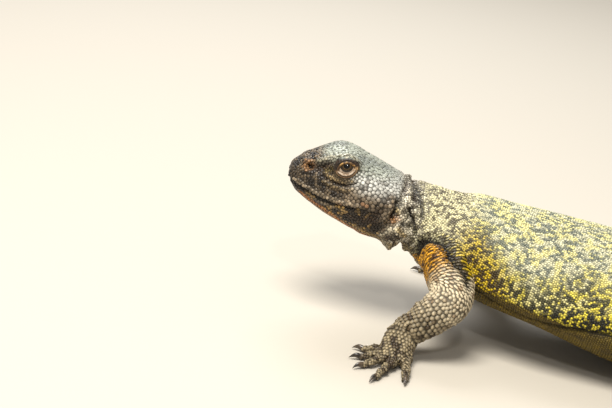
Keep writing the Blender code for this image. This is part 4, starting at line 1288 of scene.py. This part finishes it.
def spread_points(skin, use, draw):
    """Points spread over part of the head's skin, about a pitch apart."""
    faces = np.flatnonzero(use[skin.quads].all(axis=1))
    picked = skin.quads[draw.choice(faces, HEAD_TRIES)]
    a, b = draw.random((2, HEAD_TRIES, 1))
    corner = [skin.points[picked[:, k]] for k in range(4)]
    first = corner[0] * (1 - a) + corner[1] * a
    second = corner[3] * (1 - a) + corner[2] * a
    spots = first * (1 - b) + second * b
    radius = head_pitch(spots) * HEAD_SPACING
    keep = thin_out(spots, radius)
    spots, radius = spots[keep], radius[keep]
    for _ in range(SPREAD_PASSES):
        tree = tree_of(spots)
        pushed = spots.copy()
        for i, p in enumerate(spots):
            want = radius[i] * PUSH_REACH
            for other, _, away in tree.find_n(p, 7)[1:]:
                if away < want:
                    way = (p - np.array(other)) / max(away, 0.01)
                    pushed[i] += way * (want - away) * PUSH_SHARE
        spots = skin.nearest(pushed, 2.0)[0]
    return spots


def in_openings(points):
    """Which points lie where the lids and eyes are, or in an ear."""
    hidden = line_distance(mirrored(to_head(points)), EAR_LINE) < EAR_HALF_WIDTH
    for side in (1, -1):
        hidden |= eye_opening(points, side, BARE_SIZE)[3]
    return hidden


def resting(points, normals):
    """Which points of the skin rest on the floor."""
    return (points[:, 2] < RESTING_Z) & (normals[:, 2] < RESTING_SLOPE)


def chosen(roots, use):
    """The same table of roots with only some of them."""
    return {key: values[use] for key, values in roots.items()}


def joined(*groups):
    """Tables of roots put one after another."""
    return {key: np.concatenate([group[key] for group in groups]) for key in groups[0]}


def row_roots(skin, tubes, draw):
    """Roots in rows round every tube but the head."""
    groups = []
    for n, tube in enumerate(tubes[1:], 1):
        at, turn, long, wide = scale_rows(tube)
        loose = 0.04 + 0.11 * ramp(0.1, 0.5, np.sin(turn)) * (tube.name == "body")
        at = at + draw.normal(0, 1, len(at)) * loose * (tube.end - tube.start) / tube.along[-1]
        point = tube.outline(at, turn)
        step = 0.3 * (tube.end - tube.start) / tube.along[-1]
        back = tube.outline(at + step, turn) - point
        which = np.full(len(at), n)
        groups.append({"point": point, "back": back, "length": long, "width": wide, "which": which})
    roots = joined(*groups)
    roots["point"], roots["normal"], corner = skin.nearest(roots["point"], ROOT_REACH)
    good = (corner >= 0) & (skin.places[0][corner] == roots["which"])
    good &= ~((roots["which"] == 1) & (to_head(roots["point"])[:, 0] < HEAD_LENGTH - 0.3))
    return chosen(roots, good)


def head_roots(skin, draw):
    """Roots spread over the head."""
    on_head = (skin.places[0] == 0) & (to_head(skin.points)[:, 0] < HEAD_LENGTH + 0.2)
    spots = spread_points(skin, on_head, draw)
    pitch = head_pitch(spots)
    return {
        "point": spots,
        "normal": skin.nearest(spots, 1.0)[1],
        "back": np.tile(np.array(HEAD)[:3, 0], (len(spots), 1)),
        "length": pitch,
        "width": pitch,
        "which": np.zeros(len(spots), int),
    }


def fill_in(skin, roots, draw):
    """Adds scales where rows of neighbouring tubes leave bare skin."""
    small = np.minimum(roots["length"], roots["width"])
    tree = tree_of(roots["point"])
    found = [tree.find(p) for p in skin.points]
    nearest = np.array([f[1] for f in found])
    away = np.array([f[2] for f in found])
    bare = (away > BARE_SHARE * small[nearest]) & ~resting(skin.points, skin.normals)
    spare = np.flatnonzero(bare)
    draw.shuffle(spare)
    spare = spare[thin_out(skin.points[spare], FILL_SPACING * small[nearest[spare]])]
    near = nearest[spare]
    added = {
        "point": skin.points[spare],
        "normal": skin.normals[spare],
        "back": roots["back"][near],
        "length": small[near],
        "width": small[near],
        "which": skin.places[0][spare],
    }
    return joined(roots, added)


def gather_roots(skin, tubes):
    """Every scale's root on the skin: place, directions, size and tube."""
    draw = np.random.default_rng(3)
    rows = row_roots(skin, tubes, draw)
    roots = joined(head_roots(skin, draw), rows)
    small = np.minimum(roots["length"], roots["width"])
    keep = thin_out(roots["point"], small * ROW_SPACING)
    roots = fill_in(skin, chosen(roots, keep), draw)
    hidden = in_openings(roots["point"]) | resting(roots["point"], roots["normal"])
    roots = chosen(roots, ~hidden)
    back, normals = roots["back"], roots["normal"]
    roots["back"] = unit(back - normals * dot(back, normals))
    roots["across"] = np.cross(normals, roots["back"])
    return roots


def node(tree, kind, **values):
    made = tree.nodes.new(kind)
    for name, value in values.items():
        if name in made.inputs:
            made.inputs[name].default_value = value
        else:
            setattr(made, name, value)
    return made


def new_material(name, roughness, specular=0.5, coat=0.0):
    made = bpy.data.materials.new(name)
    made.use_nodes = True
    shader = made.node_tree.nodes["Principled BSDF"]
    shader.inputs["Roughness"].default_value = roughness
    shader.inputs["Specular IOR Level"].default_value = specular
    shader.inputs["Coat Weight"].default_value = coat
    return made, made.node_tree, shader


def object_noise(tree, scale, detail):
    """The output of a noise that keeps its place on the object."""
    place = node(tree, "ShaderNodeTexCoord")
    made = node(tree, "ShaderNodeTexNoise", Scale=scale, Detail=detail)
    tree.links.new(place.outputs["Object"], made.inputs["Vector"])
    return made.outputs["Fac"]


def ranged(tree, value, to_low, to_high, low=0.0, high=1.0):
    """The output that takes a value from the range low to high to another range."""
    ends = {"From Min": low, "From Max": high, "To Min": to_low, "To Max": to_high}
    made = node(tree, "ShaderNodeMapRange", **ends)
    tree.links.new(value, made.inputs["Value"])
    return made.outputs["Result"]


def multiplied(tree, colour, factor):
    made = node(tree, "ShaderNodeMix", data_type="RGBA", blend_type="MULTIPLY")
    made.inputs[0].default_value = 1.0
    tree.links.new(colour, made.inputs[6])
    tree.links.new(factor, made.inputs[7])
    return made.outputs[2]


def add_bump(tree, shader, height, strength, distance):
    bump = node(tree, "ShaderNodeBump", Strength=strength, Distance=distance)
    tree.links.new(height, bump.inputs["Height"])
    tree.links.new(bump.outputs["Normal"], shader.inputs["Normal"])


def scaly_material(name, roughness, bump_size, bump_depth, root_shade=None):
    """The painted colour, mottled, with a fine grain. Scales get painted shade at their roots, down to
    the given factor of their colour.
    """
    made, tree, shader = new_material(name, roughness, specular=0.36)
    colour = node(tree, "ShaderNodeAttribute", attribute_name="Paint").outputs["Color"]
    mottle = object_noise(tree, 900.0, 3.0)
    colour = multiplied(tree, colour, ranged(tree, mottle, 0.75, 1.2, 0.3, 0.7))
    if root_shade is not None:
        height = node(tree, "ShaderNodeAttribute", attribute_name="Height").outputs["Fac"]
        colour = multiplied(tree, colour, ranged(tree, height, root_shade, 1.0))
    tree.links.new(colour, shader.inputs["Base Color"])
    add_bump(tree, shader, object_noise(tree, bump_size, 2.0), 0.5, bump_depth)
    return made


def eye_material():
    made, tree, shader = new_material("eye_gloss", 0.12, specular=0.25, coat=0.3)
    shader.inputs["Coat Roughness"].default_value = 0.03
    colour = node(tree, "ShaderNodeAttribute", attribute_name="Paint").outputs["Color"]
    flecks = ranged(tree, object_noise(tree, 2500.0, 2.0), 0.8, 1.2)
    tree.links.new(multiplied(tree, colour, flecks), shader.inputs["Base Color"])
    return made


def claw_material():
    made, tree, shader = new_material("claw_horn", 0.32, coat=0.25)
    streaks = object_noise(tree, 700.0, 4.0)
    tones = node(tree, "ShaderNodeValToRGB")
    for end, place, tone in zip(tones.color_ramp.elements, (0.35, 0.7), (CLAW_DARK, CLAW_PALE)):
        end.position = place
        end.color = (*tone, 1)
    tree.links.new(streaks, tones.inputs["Fac"])
    tree.links.new(tones.outputs["Color"], shader.inputs["Base Color"])
    add_bump(tree, shader, streaks, 0.4, 0.0001)
    return made


def make_eye(side, name, node_name, material):
    """An eyeball with a bulging cornea, painted by how far a point is from the gaze."""
    gaze = unit(np.array((GAZE[0], side * GAZE[1], GAZE[2])))
    across = unit(np.cross(gaze, (0, 0, 1.0)))
    lift = np.cross(across, gaze)
    angles = np.concatenate((np.linspace(0.02, 0.9, 45), np.linspace(0.98, pi - 0.02, 24)))
    turns = np.linspace(0, tau, 72, endpoint=False)
    a, b = np.meshgrid(angles, turns, indexing="ij")
    radius = EYE_RADIUS + CORNEA_HEIGHT * bell(a / 0.5)
    way = (
        np.cos(a)[..., None] * gaze
        + np.sin(a)[..., None] * (np.cos(b)[..., None] * across + np.sin(b)[..., None] * lift)
    )
    rings = moved(HEAD, np.array(eye_centre(side)) + way * radius[..., None])
    points, faces = shell(rings)
    obj = new_mesh(name, points, *corners(faces), material)
    off = EYE_RADIUS * np.sin(a.ravel())
    streak = noise(np.column_stack((b.ravel() * 9, off * 1.2, 0 * off)), 41)
    above = ramp(-0.1, 0.35, np.sin(b.ravel()))
    iris = mix(IRIS, IRIS_SHADE, streak)
    iris = mix(IRIS_INNER, iris, ramp(1.1, 1.35, off))
    colour = mix(PUPIL, iris, ramp(1.05, 1.18, off))
    colour = mix(colour, IRIS_EDGE, ramp(1.7, 1.95, off))
    white = mix(mix(EYE_PALE, EYE_PALE_SHADE, streak), BROWN_DARK, above)
    colour = mix(colour, white, ramp(2.05, 2.2, off))
    colour = mix(colour, BROWN_DARK, ramp(3.0, 3.2, off))
    give_colour(obj, colour)
    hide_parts(node_name)


def lid_point(side, a, t, reach):
    """A point of the lids: a round the opening, t from its edge out, reach from the eye's centre."""
    power = 1.4
    x0 = (LID_OPENING[0] + 0.2) * np.cos(a)
    y0 = LID_OPENING[1] * np.sign(np.sin(a)) * np.abs(np.sin(a)) ** power + side * LID_DROP
    x = x0 + (LID_OUTER[0] * np.cos(a) - x0) * t
    y = y0 + (LID_OUTER[1] * np.sin(a) - y0) * t
    z = np.sqrt(np.maximum(LID_RADIUS**2 - x**2 - y**2, 0.4))
    way = unit(np.stack((x, y, z), axis=-1))
    return moved(eye_frame(side), way * reach[..., None])


def make_lids(side, name, material):
    """Both lids of an eye as one piece: rolled rims round the opening and folds outside them."""
    t, lift = np.array(LID_PROFILE).T
    fine = np.linspace(0, 1, 40)
    lift = np.interp(fine, t, lift)
    a = np.linspace(0, tau, 96, endpoint=False)
    tt, aa = np.meshgrid(fine, a, indexing="ij")
    wrinkle = 0.05 * np.sin(aa * 23 + 5 * tt) * ramp(0.3, 0.5, tt)
    reach = EYE_RADIUS + lift[:, None] + wrinkle
    if side > 0:
        reach = reach - FAR_LID_DROP * ramp(0.2, 0.5, tt) * ramp(0.2, 0.8, -np.sin(aa))
    rings = lid_point(side, aa, tt, reach)
    inner = lid_point(side, aa[:1], tt[:1] + 0.35, np.full((1, len(a)), EYE_RADIUS - 0.6))
    outer = lid_point(side, aa[:1], np.ones((1, len(a))), np.full((1, len(a)), EYE_RADIUS - 0.8))
    rings = np.concatenate((inner, rings, outer))
    count, sides = rings.shape[:2]
    index = np.arange(count * sides).reshape(count, sides)
    quads = quads_between(np.concatenate((index, index[:1])))
    obj = new_mesh(name, rings.reshape(-1, 3), *quad_corners(quads), material)
    tt = np.concatenate((tt[:1], tt, tt[-1:]))
    aa = np.concatenate((aa[:1], aa, aa[-1:]))
    give_colour(obj, lid_paint(side, tt.ravel(), aa.ravel()))


def lid_paint(side, t, a):
    """Colour of the lids: a golden upper rim under dark brown, and below a pale rim, a groove
    painted dark brown as shade, a tan ridge and olive folds with a second such groove."""
    upper = ramp(-0.3, 0.2, -np.sin(a) * side)
    rear = ramp(0.85, 0.98, np.cos(a))
    grain = ramp(0.3, 0.7, noise(np.column_stack((a * 7, t * 6, 0 * t)), 43))
    groove = bell((t - 0.27) / 0.07) + bell((t - 0.64) / 0.07)
    low = mix(mix(LID_PALE, LID_PALE_SHADE, grain), LID_TAN, ramp(0.16, 0.24, t))
    low = mix(low, mix(LID_OLIVE, LID_OLIVE_SHADE, grain), ramp(0.5, 0.6, t))
    # The grooves of the lids are painted dark brown as shade
    low = mix(low, BROWN_DARK, 0.95 * groove)
    front = ramp(-0.45, -0.75, np.cos(a))
    high = mix(LID_GOLD, LID_GOLD_SHADE, np.maximum(grain, front))
    high = mix(high, mix(LID_DARK, LID_DARK_SHADE, grain), ramp(0.16, 0.3, t))
    if side > 0:
        pale = ramp(0.45, 0.6, t)
    else:
        pale = ramp(0.58, 0.72, t) * ramp(0.5, 0.85, np.sin(a)) * ramp(-0.5, -0.1, np.cos(a))
    high = mix(high, mix(CREAM, CROWN_SHADE, grain), pale)
    corner = mix(LID_CORNER, BROWN_DARK, 0.5 * grain)
    share = rear * ramp(0.6, 0.4, t) * ramp(0.8, 0.3, upper)
    return mix(mix(low, high, upper), corner, share)


def make_claw(tube, name, node_name, material):
    """A curved claw out of the end of a digit."""
    points, way = tube.claw
    side = np.array((-way[1], way[0], 0))
    shares = np.linspace(-0.25, 1, 18)
    turns = np.linspace(0, tau, 14, endpoint=False)
    rings = []
    for share in shares:
        out = max(share, 0)
        radius = CLAW_RADIUS * max(1 - out**1.7, 0) + 0.06
        bend = 0.55 * sin(pi * out * 0.8) - 1.0 * out**2
        centre = points[-1] + way * (CLAW_GAP + CLAW_LENGTH * share) + UPWARD * (0.1 + bend)
        across, up = section(turns, radius * 0.74, radius, radius * 0.85)
        rings.append(centre + side * across + UPWARD * up)
    points, faces = shell(np.array(rings))
    points[:, 2] = np.maximum(points[:, 2], HORN_CLEARANCE)
    obj = new_mesh(name, points, *corners(faces), material)
    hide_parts(node_name)


def whorl_roots():
    """Root, directions and size of every spine of the tail."""
    draw = np.random.default_rng(7)
    t = np.linspace(0, 1, WHORLS)
    places = WHORL_FIRST + (WHORL_LAST - WHORL_FIRST) * (t + 0.06 * np.sin(pi * t))
    spots = through(BODY_KNOTS, BODY_LINE[:, :3], places)
    pitches = np.linalg.norm(np.diff(spots, axis=0), axis=1)
    pitches = np.concatenate((pitches, pitches[-1:]))
    groups = []
    for at, pitch in zip(places, pitches):
        turn = np.linspace(SPINE_LOWEST, pi - SPINE_LOWEST, 200)
        ring = body_outline(at, turn)
        arc = chord_knots(ring)
        count = max(8, round(arc[-1] / (pitch * 0.4)))
        turns = np.interp((np.arange(count) + 0.5) / count * arc[-1], arc, turn)
        p = body_outline(at, turns)
        back = unit(body_outline(at + 0.05, turns) - p)
        around = unit(body_outline(at, turns + 0.02) - p)
        out = np.cross(back, around)
        out *= np.sign(dot(out, p - through(BODY_KNOTS, BODY_LINE[:, :3], at)))
        length = pitch * SPINE_LENGTH * draw.uniform(0.88, 1.08, count)
        groups.append({
            "point": p,
            "back": back,
            "across": np.cross(out, back),
            "normal": out,
            "length": 2 * length,
            "height": length,
            "width": np.full(count, arc[-1] / count * 1.02),
            "at": np.full(count, at),
            "turn": turns,
        })
    return joined(*groups)


def make_spines(tubes, skin, material):
    roots = whorl_roots()
    roots["point"] = skin.nearest(roots["point"], 3.0)[0]
    at, turn = roots["at"], roots["turn"]
    roots["colour"] = paint(tubes, roots["point"], np.ones(len(at), int), at, turn)
    roots["uv"] = np.column_stack(((turn + pi) / (2 * tau), (at - 8) / 6.5))
    # The spines are darkened towards their roots as painted shade
    build_scales(
        "tail_spines", SPINE, roots, material, "tail_skin",
        root_shade_by_height=(5, 0.1), tip=0.5, lowest=HORN_CLEARANCE,
    )


def make_camera():
    a, e, r = CAMERA_AZIMUTH, CAMERA_ELEVATION, CAMERA_ROLL
    away = Vector((sin(a) * cos(e), -cos(a) * cos(e), sin(e)))
    level = (-away).cross(UP).normalized()
    upright = level.cross(-away)
    right = level * cos(r) + upright * sin(r)
    up = upright * cos(r) - level * sin(r)
    data = bpy.data.cameras.new("camera")
    data.lens = CAMERA_LENS
    camera = placed("camera", data)
    place = (Vector(CAMERA_TARGET) + Vector(SHIFT)) * MM + away * (CAMERA_DISTANCE * MM)
    turn = Matrix((right, up, away)).transposed().to_4x4()
    camera.matrix_world = Matrix.Translation(place) @ turn
    bpy.context.scene.camera = camera


def make_light(name, place, aim, size, power, colour):
    data = bpy.data.lights.new(name, "AREA")
    data.shape = "SQUARE"
    data.size = size
    data.energy = power
    data.color = colour
    way = Vector(aim) - Vector(place)
    turn = way.to_track_quat("-Z", "Y").to_matrix().to_4x4()
    placed(name, data).matrix_world = Matrix.Translation(place) @ turn


def make_studio():
    """A pale floor that is wide enough for any view, soft light and a pale surrounding."""
    size = 6.0
    edge = [(-size, -size, 0), (size, -size, 0), (size, size, 0), (-size, size, 0)]
    mesh = bpy.data.meshes.new("floor")
    mesh.from_pydata(edge, [], [(0, 1, 2, 3)])
    made, _, shader = new_material("floor", 0.8, 0.2)
    shader.inputs["Base Color"].default_value = (*FLOOR_GREY, 1)
    mesh.materials.append(made)
    placed("floor", mesh)
    world = bpy.data.worlds.new("studio")
    world.use_nodes = True
    background = world.node_tree.nodes["Background"]
    background.inputs["Color"].default_value = (1.0, 0.97, 0.9, 1)
    background.inputs["Strength"].default_value = 0.5
    bpy.context.scene.world = world
    bpy.context.scene.view_settings.view_transform = "Standard"
    make_light("key", (-0.22, -0.3, 0.75), (-0.06, 0, 0.02), 0.35, 11.0, (1.0, 0.96, 0.88))
    make_light("glint", (0.02, -0.62, 0.62), (-0.14, -0.02, 0.05), 0.05, 1.2, (1.0, 0.98, 0.94))
    make_light("rim", (-0.35, 0.5, 0.6), (-0.08, 0, 0.03), 0.4, 5.0, (0.95, 0.97, 1.0))


def flesh_nodes():
    """The nodes whose place the one skin takes."""
    names = ["head", "jaw", "neck", "chest", "belly", "pelvis", "tail_1", "tail_2", "tail_3", "tail_4"]
    for limb in LIMBS:
        kind, side = limb.split("_")
        names += [f"{part}_{side}" for part in LIMB_KINDS[kind][1]]
    return names


def coat_pieces(tubes, roots):
    """The scales sorted into pieces: name, which of them, their template and their slot."""
    which = roots["which"]
    pieces = [("coat_head", which == 0, PLATE, "slate_skin")]
    start = COAT_START
    for part, end, slot in BODY_COATS:
        use = (which == 1) & (roots["at"] >= start) & (roots["at"] < end)
        pieces.append((f"coat_{part}", use, GRANULE, slot))
        start = end
    for n, tube in enumerate(tubes):
        if tube.name in LIMBS:
            own = which == n
            upper = roots["at"] < BAND_SHARE * tube.end
            digits = np.isin(which, range(n + 1, n + 6))
            pieces.append((f"coat_{tube.name}", own & upper, BAND, "limb_skin"))
            pieces.append((f"coat_{tube.name}_end", own & ~upper | digits, SHINGLE, "limb_skin"))
    return pieces


def map_places(tubes, roots):
    """Each root's place on an unwrap of its tube, turned and laid out with its neighbours."""
    which, at, turn = roots["which"], roots["at"], roots["turn"]
    uv = np.zeros((len(which), 2))
    for n, tube in enumerate(tubes):
        use = which == n
        if tube.name == "body":
            edges = np.array([COAT_START, *(end for _, end, _ in BODY_COATS)])
            k = np.clip(np.searchsorted(edges, at[use], side="right") - 1, 0, len(edges) - 2)
            share = np.clip((at[use] - edges[k]) / (edges[k + 1] - edges[k]), 0, 1)
        else:
            length = tube.end + tube.tip - tube.start
            share = np.clip((at[use] - tube.start) / length, 0, 1)
        around = (turn[use] % tau) / tau
        if tube.digit:
            across = 0.62 + (tube.digit - 1 + 0.05 + around * 0.9) * 0.072
        else:
            across = 0.01 + around * (0.58 if n > 1 else 0.97)
        uv[use] = np.column_stack((across, 0.01 + share * 0.97))
    return uv


def make_skin(tubes, chart):
    """The skin piece, the skin to set scales on, and its points before the folds were drawn in."""
    shells = [tube.grid()[0] for tube in tubes]
    for side in (1, -1):
        shells.append(ball(eye_centre(side), LID_RADIUS))
        nostril = (NOSTRIL_CENTRE[0], side * (NOSTRIL_CENTRE[1] - 0.9), NOSTRIL_CENTRE[2])
        shells.append(ball(nostril, NOSTRIL_RIM if side < 0 else NOSTRIL_RIM - 0.5))
    plain, quads = remeshed(shells)
    places = chart.find(plain)
    points = sculpt(plain, quads)
    material = scaly_material("skin", 0.62, 5200.0, 0.00006)
    piece = new_mesh("skin", points, *quad_corners(quads), material)
    # The skin between the scales is darkened as painted shade
    shade = np.select((places[0] == 0, places[0] == 1), (HEAD_GAP_SHADE, BODY_GAP_SHADE), LIMB_GAP_SHADE)
    give_colour(piece, paint(tubes, plain, *places) * shade[:, None])
    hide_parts(*flesh_nodes())
    return Skin(points, quads, places), plain


def make_coat(tubes, chart, skin, plain):
    """All the scales and the spines."""
    roots = gather_roots(skin, tubes)
    point = roots["point"]
    roots["which"], roots["at"], roots["turn"] = chart.find(point)
    # Colour goes by where a point was before the folds were drawn in
    corner = skin.nearest(point, 1.0)[2]
    unfolded = point + plain[corner] - skin.points[corner]
    colour = paint(tubes, unfolded, roots["which"], roots["at"], roots["turn"])
    draw = np.random.default_rng(5)
    roots["colour"] = np.clip(colour * draw.normal(1.0, TONE_SPREAD, (len(point), 1)), 0, 1)
    roots["uv"] = map_places(tubes, roots)
    small = np.minimum(roots["length"], roots["width"])
    roots["height"] = SCALE_HEIGHT * small * draw.uniform(0.85, 1.15, len(small))
    # The plates of the crown are flatter and wider
    crown = ramp(9.5, 12.0, to_head(point)[:, 2]) * (roots["which"] == 0)
    for key, change in (("height", -0.35), ("length", 0.06), ("width", 0.06)):
        roots[key] = roots[key] * (1 + change * crown)
    # The last value of each scales material is the painted shade at the roots of its scales
    usual = scaly_material("scales", 0.42, 6500.0, 0.00004, 0.22)
    materials = {
        "slate_skin": scaly_material("head_scales", 0.36, 6500.0, 0.00004, 0.26),
        "limb_skin": scaly_material("limb_scales", 0.44, 6000.0, 0.00005, 0.12),
    }
    for name, use, template, slot in coat_pieces(tubes, roots):
        group = chosen(roots, use)
        sizes = COAT_SIZES["band" if template is BAND else slot]
        for key, size in zip(("length", "width", "height"), sizes):
            group[key] = group[key] * size
        build_scales(name, template, group, materials.get(slot, usual), slot)
    make_spines(tubes, skin, usual)


def make_eyes():
    gloss = eye_material()
    lid_material = scaly_material("lids", 0.5, 4200.0, 0.00005)
    for side, word in ((1, "right"), (-1, "left")):
        make_eye(side, f"eyeball_{word}", f"eye_{word}", gloss)
        make_lids(side, f"lids_{word}", lid_material)


def make_claws(tubes):
    horn = claw_material()
    for tube in tubes:
        if tube.digit:
            kind, side, number = tube.name.split("_")
            node_name = f"claw_{LIMB_KINDS[kind][1][-1]}_{side}_{number}"
            make_claw(tube, f"curved_{node_name}", node_name, horn)


def main():
    make_camera()
    make_studio()
    tubes = make_tubes()
    chart = Map(tubes)
    make_coat(tubes, chart, *make_skin(tubes, chart))
    make_eyes()
    make_claws(tubes)


main()
